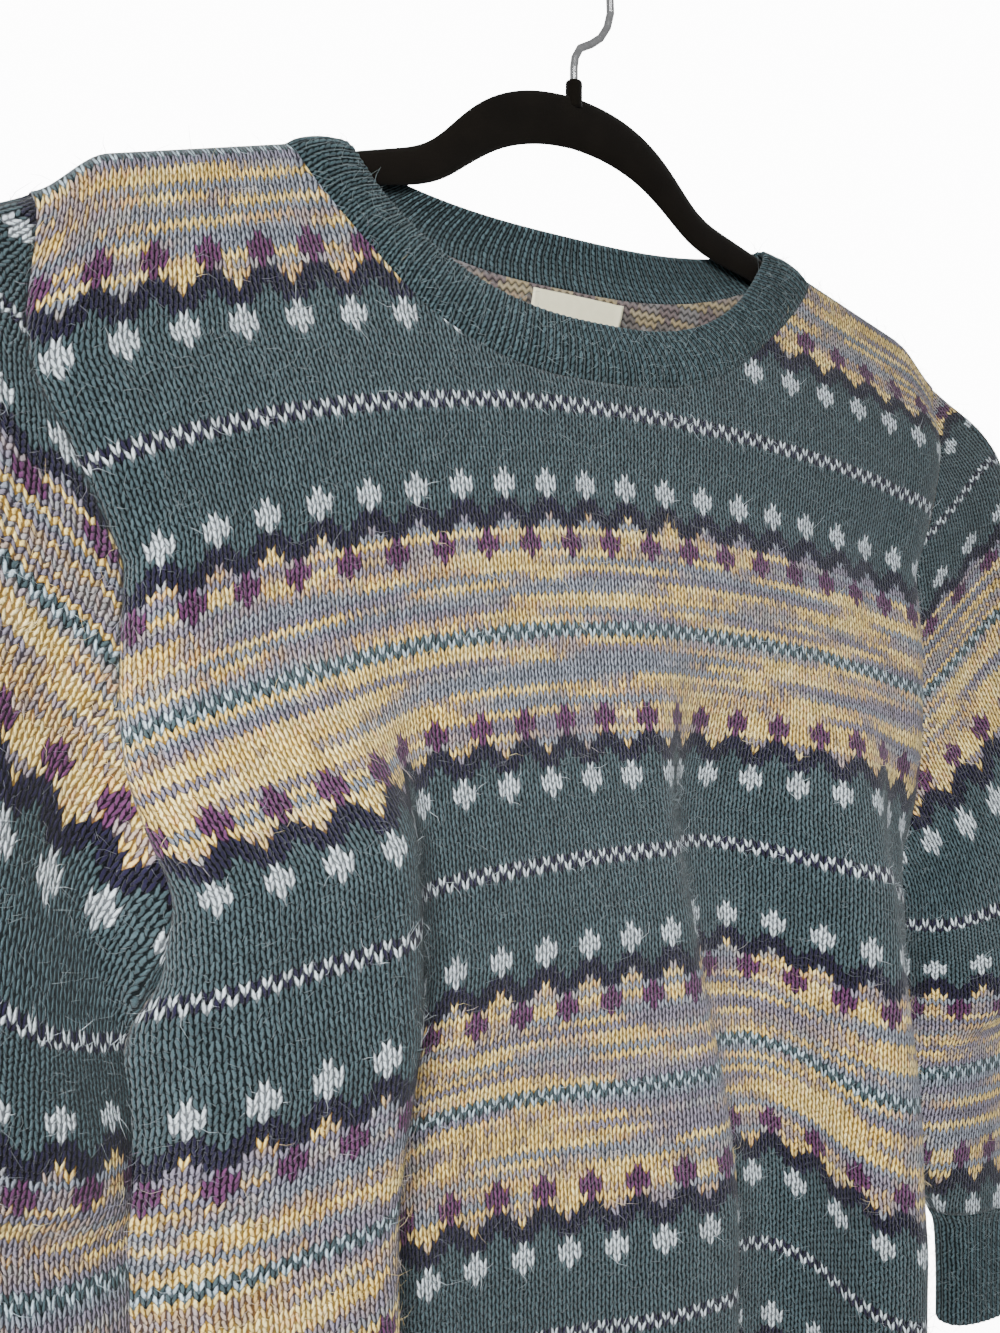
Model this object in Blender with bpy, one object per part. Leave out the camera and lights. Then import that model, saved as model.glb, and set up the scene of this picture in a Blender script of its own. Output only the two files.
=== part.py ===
"""Fair isle jumper hanging on a slim velvet hanger with a wire hook.

Lengths are in millimetres here and become metres when a mesh is written. +Z is up, the
front faces -Y, and the origin is where the hook rests on its rail. A place on the front
or the back is given as (c, r): c runs across the cloth from its centre column, and r
runs down the cloth from the shoulder line. Each soft piece is one closed wall of cloth
with open ends, and two pieces that are sewn together share one row of points.
"""
import math

import bmesh
import bpy
import numpy as np

MM = 0.001
WALL = 2.4  # thickness of the knitted cloth
SEAM = 0.3  # gap between two pieces that are sewn together

# Body of the jumper
SHOULDER_Z = -116.0  # height of the cloth at the neck points
UNDERARM = 298.0  # r where the armholes end
BODY_END = 600.0  # r where the rib of the hem begins
HEM_END = 665.0  # r of the hem's lower edge
MIDDLE_X = 7.0  # the jumper has slid this far along the hanger
FRONT_Y = -22.0
RIDGE_HALF = 5.6  # the cloth's distance from the middle plane just below the shoulder
SLOPE = 0.27  # fall of the shoulder line
SLOPE_START = 118.0
TIP_ROLL = 12.0  # extra fall past the ends of the hanger

# Rows down the cloth: name, r, z and x of the centre column, half-width of the cloth,
# how much lower the row hangs at the left and at the right, spread of the columns to the
# left and to the right, set-back of the front's left and right edge, and y of the back
SECTIONS = (
    ("shoulder", 0.0, -116.0, -3.0, 262.0, 42.0, 30.0, 1.06, 1.14, 0.0, 0.0, 0.0),
    ("yoke", 64.0, -181.0, -7.0, 248.0, 44.0, 27.0, 1.04, 1.14, 10.0, 9.0, 13.0),
    ("dots", 134.0, -250.5, -3.0, 243.0, 43.0, 31.0, 0.95, 1.04, 13.0, 14.0, 20.0),
    ("band", 198.0, -314.0, 6.0, 247.0, 41.0, 36.0, 0.98, 1.05, 14.0, 17.0, 24.0),
    ("chest", 262.0, -380.5, 14.0, 256.0, 25.0, 38.0, 0.99, 1.08, 18.0, 25.0, 28.0),
    ("underarm", 298.0, -416.5, 20.0, 268.0, 25.0, 36.0, 1.0, 1.09, 27.0, 40.0, 30.0),
    ("dip", 333.0, -455.0, 26.0, 275.0, 26.0, 36.0, 1.01, 1.08, 31.0, 49.0, 33.0),
    ("waist", 400.0, -527.0, 30.0, 275.0, 24.0, 34.0, 1.05, 1.10, 34.0, 52.0, 38.0),
    ("hips", 461.0, -597.0, 34.0, 275.0, 22.0, 32.0, 1.06, 1.11, 34.0, 52.0, 40.0),
    ("hem_top", 600.0, -741.0, 34.0, 270.0, 20.0, 28.0, 1.04, 1.10, 34.0, 50.0, 42.0),
    ("hem_end", 665.0, -809.0, 32.0, 262.0, 20.0, 28.0, 1.03, 1.09, 32.0, 46.0, 42.0),
)
Z, X, HALF, FALL_LEFT, FALL_RIGHT, SPREAD_LEFT, SPREAD_RIGHT = range(2, 9)
BACK_LEFT, BACK_RIGHT, BACK_Y = range(9, 12)
TURN_LEFT = 34.0  # radius of the cloth's turn at the left side
TURN_RIGHT = 54.0
SIDE_GATHER = 0.09  # how much the cloth closes up beyond the right front ridge
ARM_OPEN = (9.0, 21.0, 14.0)  # how far the armholes stand open: shoulder, left and right

# Steps of the folds, left to right: name, c at the chest and at the hem, cloth in the
# step, depth at the chest and at the hem, drop at the chest and at the hem, r where it
# starts and r where it is full
FRONT_STEPS = (
    ("left_rise", -205.0, -215.0, 90.0, -9.0, -13.0, 0.0, 0.0, 180.0, 320.0),
    ("left_flank", -140.0, -156.0, 60.0, 33.0, 33.0, -7.0, -20.0, 180.0, 268.0),
    ("centre_tilt", -55.0, -65.0, 150.0, 0.0, 0.0, 0.0, 14.0, 300.0, 420.0),
    ("centre_rise", -50.0, -10.0, 110.0, -5.0, -15.0, 0.0, 0.0, 262.0, 420.0),
    ("centre_step", 38.0, 60.0, 50.0, 27.0, 33.0, 0.0, -9.0, 172.0, 296.0),
    ("right_rise", 116.0, 144.0, 96.0, -46.0, -64.0, 4.0, 24.0, 184.0, 310.0),
    ("right_fall", 186.0, 208.0, 44.0, 21.0, 17.0, 6.0, -4.0, 190.0, 300.0),
)
BACK_STEPS = (
    ("left_fall", -190.0, -205.0, 70.0, 8.0, 20.0, 0.0, -6.0, 200.0, 380.0),
    ("left_turn", -110.0, -120.0, 60.0, -12.0, -24.0, 0.0, 8.0, 190.0, 400.0),
    ("middle_fall", -20.0, -25.0, 90.0, 7.0, 16.0, 0.0, -4.0, 240.0, 420.0),
    ("middle_turn", 70.0, 75.0, 60.0, -10.0, -20.0, 0.0, 4.0, 220.0, 400.0),
    ("right_fall", 165.0, 180.0, 70.0, 8.0, 18.0, 0.0, 0.0, 200.0, 380.0),
)

# Neck opening: c of its outer seam at the shoulders, and r of the seam at the centre
NECK_C = (-128.0, 138.0)
NECK_X = (-151.0, 160.0)  # the neck points on the hanger
TIP_X = (-254.0, 268.0)  # the shoulder tips
FRONT_NECK = 87.0
BACK_NECK = 40.0
NECK_OPEN = (15.0, 11.0)  # how fast the seam and the band's edge leave the shoulder line
NECK_TURNS = (0.0, 0.023, 0.055, 0.13, 0.32, 0.55, 0.8, 1.05, 1.31)  # radians from a neck point
NECK_PARTS = 3  # columns of the band in one column of a panel

# Inner edge of the neckband: x at the shoulders, and depth at the front and the back
BAND_X = (-125.0, 127.0)
BAND_FRONT = 62.0
BAND_BACK = 17.0
BAND_BULGE = 1.6
RIB_RISE = 0.45

# Sleeves from the armhole down: name, x and z of the outer edge, x and z of the inner
# edge, and half-depth; x counts outward from the body's middle
SLEEVE_RINGS = (
    ("cap", 298.0, -190.0, 232.0, -460.0, 17.0),
    ("head", 326.0, -250.0, 236.0, -467.0, 24.0),
    ("upper", 343.0, -322.0, 232.0, -477.0, 30.0),
    ("elbow", 351.0, -400.0, 229.0, -491.0, 37.0),
    ("bulge", 352.0, -456.0, 227.0, -508.0, 41.0),
    ("sag", 347.0, -492.0, 226.0, -524.0, 37.0),
    ("pinch", 339.0, -514.0, 225.0, -540.0, 25.0),
    ("forearm", 334.0, -548.0, 224.0, -562.0, 24.0),
    ("lower", 333.0, -592.0, 228.0, -598.0, 22.0),
    ("wrist", 334.0, -636.0, 250.0, -636.0, 19.0),
)
CUFF_RINGS = (
    ("top", 334.0, -636.0, 250.0, -636.0, 19.0),
    ("gather", 330.0, -646.0, 255.0, -646.0, 15.0),
    ("middle", 328.0, -674.0, 257.0, -674.0, 14.0),
    ("end", 328.0, -702.0, 257.0, -702.0, 14.0),
)
SLEEVE_Y = 2.0
SLEEVE_FOLLOW = (0.65, 0.3)  # how far the first rings keep the armhole's y
ARM_SEAM = 0.9  # gap of a sleeve at the armhole, where the walls meet at an angle
SEAM_THIN = 0.5  # share of the wall's thickness that is left at such a seam
SLEEVE_MIDDLE = (7.0, 32.0)  # x that the right and the left sleeve's rings count from
SLEEVE_DROP = (0.0, 12.0)  # how much lower the rings of each sleeve lie
CUFF_PARTS = 2
HEM_PARTS = 2

# Label inside the back of the neck: c of its sides and r of its edges
LABEL_C = (-15.0, 34.0)
LABEL_R = (42.0, 57.0)
LABEL_THICK = 0.8

# Hanger: distance from its middle, z of the upper edge and z of the lower edge
HANGER_OUTLINE = (
    ("nub", 0.0, -61.0, -96.0),
    ("nub_edge", 4.0, -61.5, -96.1),
    ("top", 5.0, -70.0, -96.2),
    ("crown", 30.0, -70.5, -98.0),
    ("turn", 46.0, -76.0, -105.0),
    ("side", 60.0, -86.0, -114.0),
    ("foot", 80.0, -103.0, -124.0),
    ("root", 100.0, -114.0, -133.0),
)
HANGER_HALF = 2.9
HANGER_TALL = 13.0
HANGER_END = 221.0
ARM_GAP = 3.9  # the arm's top below the middle of the cloth's wall
HOOK_WIRE = 1.9
HOOK_INSIDE = 21.0
NUB_TOP = -61.0

COLOURS = {
    "front": (0.10, 0.15, 0.16, 1.0),
    "back": (0.10, 0.15, 0.16, 1.0),
    "sleeve": (0.30, 0.27, 0.20, 1.0),
    "rib": (0.05, 0.10, 0.11, 1.0),
    "label": (0.80, 0.77, 0.66, 1.0),
    "velvet": (0.010, 0.010, 0.011, 1.0),
    "wire": (0.62, 0.62, 0.63, 1.0),
}


def smooth(t):
    """Ease from 0 to 1 while t goes from 0 to 1."""
    t = np.clip(t, 0.0, 1.0)
    return t * t * (3.0 - 2.0 * t)


def between(r, column):
    """One column of the body's sections, read at row r."""
    rows = [section[1] for section in SECTIONS]
    values = [section[column] for section in SECTIONS]
    return np.interp(r, rows, values)


def folds(c, r, steps):
    """Depth and drop of the folds at (c, r), both zero on the centre column."""
    depth = np.zeros_like(c)
    drop = np.zeros_like(c)
    t = smooth((r - 262.0) / (461.0 - 262.0))
    for _, c0, c1, width, d0, d1, f0, f1, start, full in steps:
        grow = smooth((r - start) / (full - start))
        middle = c0 + (c1 - c0) * t
        place = smooth((c - middle) / width + 0.5) - smooth(-middle / width + 0.5)
        depth = depth + grow * (d0 + (d1 - d0) * t) * place
        drop = drop + grow * (f0 + (f1 - f0) * t) * place
    return depth, drop


def ridge_x(c):
    """Place of column c on the shoulder line."""
    return np.interp(c, (-262.0, *NECK_C, 262.0), (TIP_X[0], *NECK_X, TIP_X[1]))


def ridge_z(x):
    """Height of the middle of the cloth on the shoulder line at x."""
    return SHOULDER_Z - SLOPE * np.maximum(np.abs(x) - SLOPE_START, 0.0)


def plane_y(r, side):
    """y of a panel without its folds at row r; side is -1 for the front, 1 for the back."""
    over = RIDGE_HALF * (1.0 - np.exp(-r / 3.0))
    flat = -FRONT_Y if side < 0 else between(r, BACK_Y)
    ease = smooth(r / 110.0)
    return side * np.maximum(over, flat * ease + over * (1.0 - ease))


def edge_turn(c, r):
    """How far a panel has turned inward near its edges, along an arc of a circle."""
    radius = np.where(c < 0.0, TURN_LEFT, TURN_RIGHT)
    set_back = np.where(c < 0.0, between(r, BACK_LEFT), between(r, BACK_RIGHT))
    angle = np.arccos(np.clip(1.0 - set_back / radius, 0.0, 1.0))
    along = (np.abs(c) - between(r, HALF)) / radius + angle
    return radius * (1.0 - np.cos(np.clip(along, 0.0, angle + 0.05)))


def cloth_depth(c, r, side):
    """y and drop of a panel at (c, r)."""
    depth, drop = folds(c, r, FRONT_STEPS if side < 0 else BACK_STEPS)
    fall = np.where(c < 0.0, between(r, FALL_LEFT), between(r, FALL_RIGHT))
    drop = drop + fall * (c / 240.0) ** 2
    turn = edge_turn(c, r) if side < 0 else 0.5 * edge_turn(c, r)
    return plane_y(r, side) + depth - side * turn, drop


def panel(c, r, side):
    """Points of a panel's middle surface at the cloth places (c, r).

    The cloth keeps its width: where it turns back or falls, its columns close up in x.
    """
    parts = 240
    row = r[..., None]
    half = between(row, HALF) + 1.0
    cloth = np.linspace(-1.0, 1.0, parts + 1) * half
    y_line, drop_line = cloth_depth(cloth, row + 0.0 * cloth, side)
    step = 2.0 * half / parts
    left = between(row, SPREAD_LEFT)
    spread = np.where(cloth[..., 1:] <= 0.0, left, between(row, SPREAD_RIGHT))
    gather = smooth((row - 180.0) / 100.0) * smooth((cloth[..., 1:] - 200.0) / 24.0)
    spread = spread * (1.0 - SIDE_GATHER * gather)
    run = (spread * step) ** 2 - np.diff(y_line, axis=-1) ** 2 - np.diff(drop_line, axis=-1) ** 2
    run = np.sqrt(np.maximum(run, (0.12 * step) ** 2))
    x_line = np.concatenate([0.0 * half, np.cumsum(run, axis=-1)], axis=-1)
    x_line = x_line - x_line[..., parts // 2, None] + between(row, X)
    place = (c / half[..., 0] + 1.0) * parts / 2.0
    low = np.clip(np.floor(place).astype(int), 0, parts - 1)[..., None]
    part = place - low[..., 0]
    first = np.take_along_axis(x_line, low, axis=-1)[..., 0]
    second = np.take_along_axis(x_line, low + 1, axis=-1)[..., 0]
    y, drop = cloth_depth(c, r, side)
    top = smooth(r / 70.0)
    x_ridge = ridge_x(c)
    x = x_ridge + (first + (second - first) * part - x_ridge) * top
    roll = TIP_ROLL * smooth((np.abs(c) - 225.0) / 37.0)
    line = SHOULDER_Z - ridge_z(x) + roll
    return np.stack([x, y, between(r, Z) - line * (1.0 - top) - drop * top], axis=-1)


def front(c, r):
    """Middle surface of the front."""
    return panel(c, r, -1)


def back(c, r):
    """Middle surface of the back; its sides meet the front's, and the armholes open."""
    edge = between(r, HALF)
    points = panel(c, r, 1)
    wide = np.where(c < 0.0, ARM_OPEN[1], ARM_OPEN[2])
    gape = ARM_OPEN[0] + wide * smooth(r / 150.0)
    gape = gape * np.clip(1.0 - (r / UNDERARM) ** 10, 0.0, 1.0)
    for sign in (-1.0, 1.0):
        gap = panel(sign * edge, r, -1) - panel(sign * edge, r, 1)
        gap[..., 1] += gape
        pull = smooth(sign * c / edge) ** 2 * smooth(r / 40.0)
        points = points + gap * pull[..., None]
    return points


def edge_rows():
    """Rows of a panel's grid along its edge."""
    arm = [0.0, 4.0, 10.0, 30.0, 62.0, 98.0, 134.0, 170.0, 206.0, 240.0, 271.0, UNDERARM]
    return np.array(arm + list(np.linspace(UNDERARM, BODY_END, 9)[1:]))


def neck_curve(left, right, leave, depth):
    """Places across and depths of the neckline or of the band's edge, left to right."""
    turns = np.array(NECK_TURNS + (math.pi / 2.0,))
    reach = np.maximum(np.cos(turns), 0.0) ** 0.8
    across = np.sin(2.0 * turns) * leave
    deep = np.sin(turns) * depth
    places = np.concatenate([left * reach + across, (right * reach - across)[:-1][::-1]])
    return places, np.concatenate([deep, deep[:-1][::-1]])


def top_line(depth):
    """(c, r) of a panel's upper edge: shoulder, neckline, shoulder."""
    left = np.linspace(-262.0, NECK_C[0], 9)[:-1]
    right = np.linspace(NECK_C[1], 262.0, 9)[1:]
    neck_c, neck_r = neck_curve(*NECK_C, NECK_OPEN[0], depth)
    c = np.concatenate([left, neck_c, right])
    return c, np.concatenate([np.zeros(8), neck_r, np.zeros(8)])


def panel_grid(surface, depth):
    """Middle points of a panel from its upper edge down to the rib of the hem."""
    top_c, top_r = top_line(depth)
    fraction = np.linspace(-1.0, 1.0, len(top_c))
    down = (edge_rows() / BODY_END)[:, None]
    r = top_r + (BODY_END - top_r) * down
    even = smooth(down / 0.3)
    c = (top_c / 262.0 * (1.0 - even) + fraction * even) * between(r, HALF)
    return surface(c, r)


def unit(vectors):
    """Vectors scaled to length 1."""
    return vectors / np.maximum(np.linalg.norm(vectors, axis=-1, keepdims=True), 1e-9)


def normals_of(points, closed):
    """Outward unit normals of a grid of points."""
    if closed:
        across = np.roll(points, -1, axis=1) - np.roll(points, 1, axis=1)
        middle = points.mean(axis=1, keepdims=True)
    else:
        across = np.gradient(points, axis=1)
        middle = np.array([MIDDLE_X, 0.0, -400.0])
    normal = unit(np.cross(across, np.gradient(points, axis=0)))
    outward = points - middle
    if not closed:
        outward = outward * np.array([0.0, 1.0, 0.0])
    return normal * np.sign((normal * outward).sum())


def share(first, second):
    """The direction that two walls both use at their seam."""
    return unit(first + second)


def finer(points, parts, closed):
    """Points with extra ones set evenly on the straight lines between columns."""
    after = np.roll(points, -1, axis=-2)
    steps = [points + (after - points) * k / parts for k in range(parts)]
    fine = np.stack(steps, axis=-2).reshape(points.shape[:-2] + (-1, 3))
    if closed:
        return fine
    return fine[..., : (points.shape[-2] - 1) * parts + 1, :]


def inset(points, axis, ends, gap=SEAM / 2.0):
    """Pull the end rows or columns inward, by half a seam's gap unless told otherwise."""
    points = np.array(points)
    line = np.moveaxis(points, axis, 0)
    if "first" in ends:
        line[0] += unit(line[1] - line[0]) * gap
    if "last" in ends:
        line[-1] += unit(line[-2] - line[-1]) * gap
    return points


def wall(name, points, normals, closed, material, rise=0.0):
    """One closed wall of cloth around a grid of middle points."""
    layers = (points + normals * (WALL / 2.0 + rise), points - normals * (WALL / 2.0))
    rows, columns = points.shape[:2]
    mesh = bmesh.new()
    out, ins = [[[mesh.verts.new(p * MM) for p in row] for row in layer] for layer in layers]
    spans = columns if closed else columns - 1
    for j in range(spans):
        k = (j + 1) % columns
        for i in range(rows - 1):
            mesh.faces.new((out[i][j], out[i + 1][j], out[i + 1][k], out[i][k]))
            mesh.faces.new((ins[i][j], ins[i][k], ins[i + 1][k], ins[i + 1][j]))
        mesh.faces.new((out[0][j], out[0][k], ins[0][k], ins[0][j]))
        mesh.faces.new((out[-1][j], ins[-1][j], ins[-1][k], out[-1][k]))
    if not closed:
        for i in range(rows - 1):
            mesh.faces.new((out[i][0], ins[i][0], ins[i + 1][0], out[i + 1][0]))
            mesh.faces.new((out[i][-1], out[i + 1][-1], ins[i + 1][-1], ins[i][-1]))
    return finish(name, mesh, material)


def finish(name, mesh, material):
    """Make a named object from a bmesh."""
    bmesh.ops.recalc_face_normals(mesh, faces=mesh.faces)
    data = bpy.data.meshes.new(name)
    mesh.to_mesh(data)
    mesh.free()
    data.shade_smooth()
    data.set_sharp_from_angle(angle=math.radians(40.0))
    data.materials.append(material)
    item = bpy.data.objects.new(name, data)
    bpy.context.scene.collection.objects.link(item)
    return item


def material(name, roughness, metallic=0.0):
    """A Principled material with the part's colour."""
    made = bpy.data.materials.new(name)
    made.use_nodes = True
    shader = made.node_tree.nodes["Principled BSDF"]
    shader.inputs["Base Color"].default_value = COLOURS[name]
    shader.inputs["Roughness"].default_value = roughness
    shader.inputs["Metallic"].default_value = metallic
    return made


def ring(row, turn):
    """Points of a sleeve's section; turn 0 is its outer edge, a quarter turn its front."""
    _, outer_x, outer_z, inner_x, inner_z, half = row
    outer = np.array([outer_x, SLEEVE_Y, outer_z])
    inner = np.array([inner_x, SLEEVE_Y, inner_z])
    along = np.cos(2.0 * math.pi * turn)[:, None]
    deep = np.sin(2.0 * math.pi * turn)[:, None]
    flat = np.sign(deep) * np.abs(deep) ** 0.8
    return (outer + inner) / 2.0 + (outer - inner) / 2.0 * along + flat * np.array([0.0, -half, 0.0])


def armhole(front_points, back_points, side):
    """The armhole's edge: down the front from the shoulder tip, then up the back."""
    column = 0 if side < 0 else -1
    count = int(np.argmin(np.abs(edge_rows() - UNDERARM))) + 1
    down = front_points[:count, column]
    up = back_points[1 : count - 1, column][::-1]
    return np.concatenate([down, up]), count


def ring_turns(edge, count):
    """Turn of each point of the armhole: half a turn down its front, half up its back."""
    lengths = np.linalg.norm(np.diff(np.vstack([edge, edge[:1]]), axis=0), axis=1)
    down = np.concatenate([[0.0], np.cumsum(lengths[: count - 1])])
    up = np.concatenate([[0.0], np.cumsum(lengths[count - 1 :])])
    return np.concatenate([down / down[-1] / 2.0, 0.5 + up[1:-1] / up[-1] / 2.0])


def sleeve_grid(edge, count, side):
    """Middle points of a sleeve from its armhole to its cuff."""
    turns = ring_turns(edge, count)
    rings = [edge]
    for row in SLEEVE_RINGS:
        points = ring(row, turns)
        points[:, 0] = SLEEVE_MIDDLE[side > 0] + side * points[:, 0]
        points[:, 2] -= SLEEVE_DROP[side > 0]
        rings.append(points)
    rings = np.stack(rings)
    for k, follow in enumerate(SLEEVE_FOLLOW, 1):
        rings[k, :, 1] += (edge[:, 1] - rings[k, :, 1]) * follow
    start = rings[0] + (rings[1] - rings[0]) * 0.18
    return np.concatenate([rings[:1], start[None], rings[1:]])


def rib_rise(rows, columns, plain):
    """Extra thickness of the raised ribs, none on the first plain rows."""
    rise = np.zeros((rows, columns, 1))
    rise[plain:, 0::2] = RIB_RISE
    return rise


def cuff_grid(wrist, edge, count, side):
    """Middle points of a cuff that starts on the sleeve's last ring."""
    turns = ring_turns(edge, count)
    rings = [wrist]
    for row in CUFF_RINGS[1:]:
        points = ring(row, turns)
        points[:, 0] = SLEEVE_MIDDLE[side > 0] + side * points[:, 0]
        points[:, 2] -= SLEEVE_DROP[side > 0]
        rings.append(points)
    return finer(np.stack(rings), CUFF_PARTS, True)


def hem_grid():
    """Middle points of the hem rib: across the front, then back across the back."""
    fraction = np.linspace(-1.0, 1.0, len(top_line(FRONT_NECK)[0]))
    rings = []
    for r in np.linspace(BODY_END, HEM_END, 4):
        rows = np.full_like(fraction, r)
        c = fraction * between(rows, HALF)
        line = np.concatenate([front(c, rows), back(c, rows)[::-1][1:-1]])
        middle = line.mean(axis=0)
        pull = 1.0 - 0.012 * smooth((r - BODY_END) / 15.0)
        rings.append(middle + (line - middle) * np.array([pull, pull, 1.0]))
    return finer(np.stack(rings), HEM_PARTS, True)


def band_edge(depth, side):
    """Inner edge of the neckband on one side, left to right."""
    x, r = neck_curve(*BAND_X, NECK_OPEN[1], depth)
    return np.stack([x, plane_y(r * 1.25, side), ridge_z(x) - r], axis=-1)


def band_ring(front_line, back_line):
    """Join a front line and a back line that share their ends into one ring."""
    return np.concatenate([front_line, back_line[::-1][1:-1]])


def neck_span():
    """First column of a panel at the neckline, and the one after its last."""
    first = len(top_line(FRONT_NECK)[0]) // 2 - len(NECK_TURNS)
    return first, first + 2 * len(NECK_TURNS) + 1


def band_grid(front_points, back_points):
    """Middle points of the neckband from its sewn edge to its inner edge."""
    first, last = neck_span()
    outer = band_ring(front_points[0, first:last], back_points[0, first:last])
    inner = band_ring(band_edge(BAND_FRONT, -1), band_edge(BAND_BACK, 1))
    rows = [outer + (inner - outer) * t for t in (0.0, 0.3, 0.65, 1.0)]
    return np.stack(rows)


def neck_cut(points, depth, side):
    """Move a panel's neckline away from the band by half a seam's gap."""
    first, last = neck_span()
    points = np.array(points)
    line = points[0, first:last]
    points[0, first:last] = line + unit(line - band_edge(depth, side)) * SEAM
    return points


def label_grid(back_points):
    """Middle points of the label, inside the back and clear of its wall."""
    c, r = np.meshgrid(np.linspace(*LABEL_C, 5), np.linspace(*LABEL_R, 3))
    points = back(c, r)
    away = WALL / 2.0 + SEAM + 0.2 + LABEL_THICK / 2.0
    return points + np.array([0.0, -away, 0.0])


def make_label(back_points, cloth):
    """The bare woven label."""
    points = label_grid(back_points)
    mesh = bmesh.new()
    for j in range(points.shape[1]):
        for i in range(points.shape[0]):
            mesh.verts.new(points[i, j] * MM)
    mesh.verts.ensure_lookup_table()
    rows = points.shape[0]
    for j in range(points.shape[1] - 1):
        for i in range(rows - 1):
            k = j * rows + i
            corners = (mesh.verts[k], mesh.verts[k + 1], mesh.verts[k + rows + 1], mesh.verts[k + rows])
            mesh.faces.new(corners)
    item = finish("label", mesh, cloth)
    thick = item.modifiers.new("thickness", "SOLIDIFY")
    thick.thickness = LABEL_THICK * MM
    thick.offset = 0.0
    return item


def hanger_outline():
    """Upper and lower edge of the hanger from its middle outward."""
    rows = [row[1:] for row in HANGER_OUTLINE]
    for x in (SLOPE_START + 4.0, 150.0, 185.0, HANGER_END - 4.0):
        top = float(ridge_z(x)) - ARM_GAP
        rows.append((x, top, top - HANGER_TALL))
    end = float(ridge_z(HANGER_END)) - ARM_GAP
    rows.append((HANGER_END, end - 4.0, end - HANGER_TALL + 4.0))
    return rows


def make_hanger(velvet):
    """The hanger's body: its outline pushed through its thickness, with round edges."""
    right = hanger_outline()
    left = [(-x, top, low) for x, top, low in reversed(right[1:])]
    rows = left + right
    mesh = bmesh.new()
    upper = [mesh.verts.new((x * MM, -HANGER_HALF * MM, top * MM)) for x, top, low in rows]
    lower = [mesh.verts.new((x * MM, -HANGER_HALF * MM, low * MM)) for x, top, low in rows]
    mesh.faces.new(upper + lower[::-1])
    face = list(mesh.faces)
    grown = bmesh.ops.extrude_face_region(mesh, geom=face)
    moved = [part for part in grown["geom"] if isinstance(part, bmesh.types.BMVert)]
    bmesh.ops.translate(mesh, verts=moved, vec=(0.0, 2.0 * HANGER_HALF * MM, 0.0))
    item = finish("hanger", mesh, velvet)
    soft = item.modifiers.new("round edges", "BEVEL")
    soft.width = 2.3 * MM
    soft.segments = 3
    soft.limit_method = "ANGLE"
    soft.angle_limit = math.radians(60.0)
    return item


def hook_path():
    """Points of the hook's wire from the hanger's top, up and over the rail."""
    radius = HOOK_INSIDE + HOOK_WIRE
    middle_z = HOOK_WIRE - radius
    points = [(0.0, NUB_TOP + SEAM), (0.0, NUB_TOP + 6.0), (0.8, -50.0), (3.8, -45.0)]
    for k in range(15):
        angle = math.radians(-62.0 + k * 18.5)
        points.append((radius * math.cos(angle), middle_z + radius * math.sin(angle)))
    return points


def make_hook(wire):
    """The hook: one bent wire with closed ends."""
    curve = bpy.data.curves.new("hook", "CURVE")
    curve.dimensions = "3D"
    curve.bevel_depth = HOOK_WIRE * MM
    curve.bevel_resolution = 3
    curve.use_fill_caps = True
    curve.resolution_u = 1
    path = hook_path()
    spline = curve.splines.new("POLY")
    spline.points.add(len(path) - 1)
    for point, (x, z) in zip(spline.points, path):
        point.co = (x * MM, 0.0, z * MM, 1.0)
    curve.materials.append(wire)
    item = bpy.data.objects.new("hook", curve)
    bpy.context.scene.collection.objects.link(item)
    return item


def make_sleeve(edge, count, side, panel_normals, name, cloth, rib):
    """One sleeve and its cuff."""
    grid = sleeve_grid(edge, count, side)
    normals = normals_of(grid, True)
    normals[0] = share(normals[1], panel_normals)
    near = np.exp(-(((ring_turns(edge, count) - 0.5) / 0.06) ** 2))
    sewn = inset(inset(grid, 0, ("first",), ARM_SEAM * (0.5 + near[:, None])), 0, ("last",))
    turned_in = np.concatenate([normals[:1] * SEAM_THIN, normals[1:]])
    wall("sleeve_" + name, sewn, turned_in, True, cloth)
    cuff = cuff_grid(grid[-1], edge, count, side)
    cuff_normals = normals_of(cuff, True)
    cuff_normals[0] = finer(normals[-1], CUFF_PARTS, True)
    rise = rib_rise(*cuff.shape[:2], 1)
    wall("cuff_" + name, inset(cuff, 0, ("first",)), cuff_normals, True, rib, rise)
    return normals[0]


def body_walls(cloth):
    """Front and back with their shared seam directions, then the pieces sewn to them."""
    front_points = panel_grid(front, FRONT_NECK)
    back_points = panel_grid(back, BACK_NECK)
    front_normals = normals_of(front_points, False)
    back_normals = normals_of(back_points, False)
    low = int(np.argmin(np.abs(edge_rows() - UNDERARM)))
    for part in (0, -1):
        both = share(front_normals[low:, part], back_normals[low:, part])
        front_normals[low:, part] = both
        back_normals[low:, part] = both
    seam = top_line(FRONT_NECK)[1] == 0.0
    both = share(front_normals[0, seam], back_normals[0, seam])
    front_normals[0, seam] = both
    back_normals[0, seam] = both
    for side, name in ((-1, "right"), (1, "left")):
        column = 0 if side < 0 else -1
        edge, count = armhole(front_points, back_points, side)
        around = armhole(front_normals, back_normals, side)[0]
        used = make_sleeve(edge, count, side, around, name, cloth["sleeve"], cloth["rib"])
        front_normals[:count, column] = used[:count]
        back_normals[1 : count - 1, column] = used[count:][::-1]
        back_normals[0, column] = used[0]
        back_normals[count - 1, column] = used[count - 1]
    make_band(front_points, back_points, front_normals, back_normals, cloth["rib"])
    make_hem(front_normals, back_normals, cloth["rib"])
    pieces = (
        ("front", front_points, front_normals, BAND_FRONT, -1),
        ("back", back_points, back_normals, BAND_BACK, 1),
    )
    for name, points, normals, depth, side in pieces:
        sewn = inset(inset(points, 0, ("first", "last")), 1, ("first", "last"))
        first, last = neck_span()
        sewn[0, first:last] = points[0, first:last]
        wall(name, neck_cut(sewn, depth, side), normals, False, cloth[name])
    make_label(back_points, cloth["label"])


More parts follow.
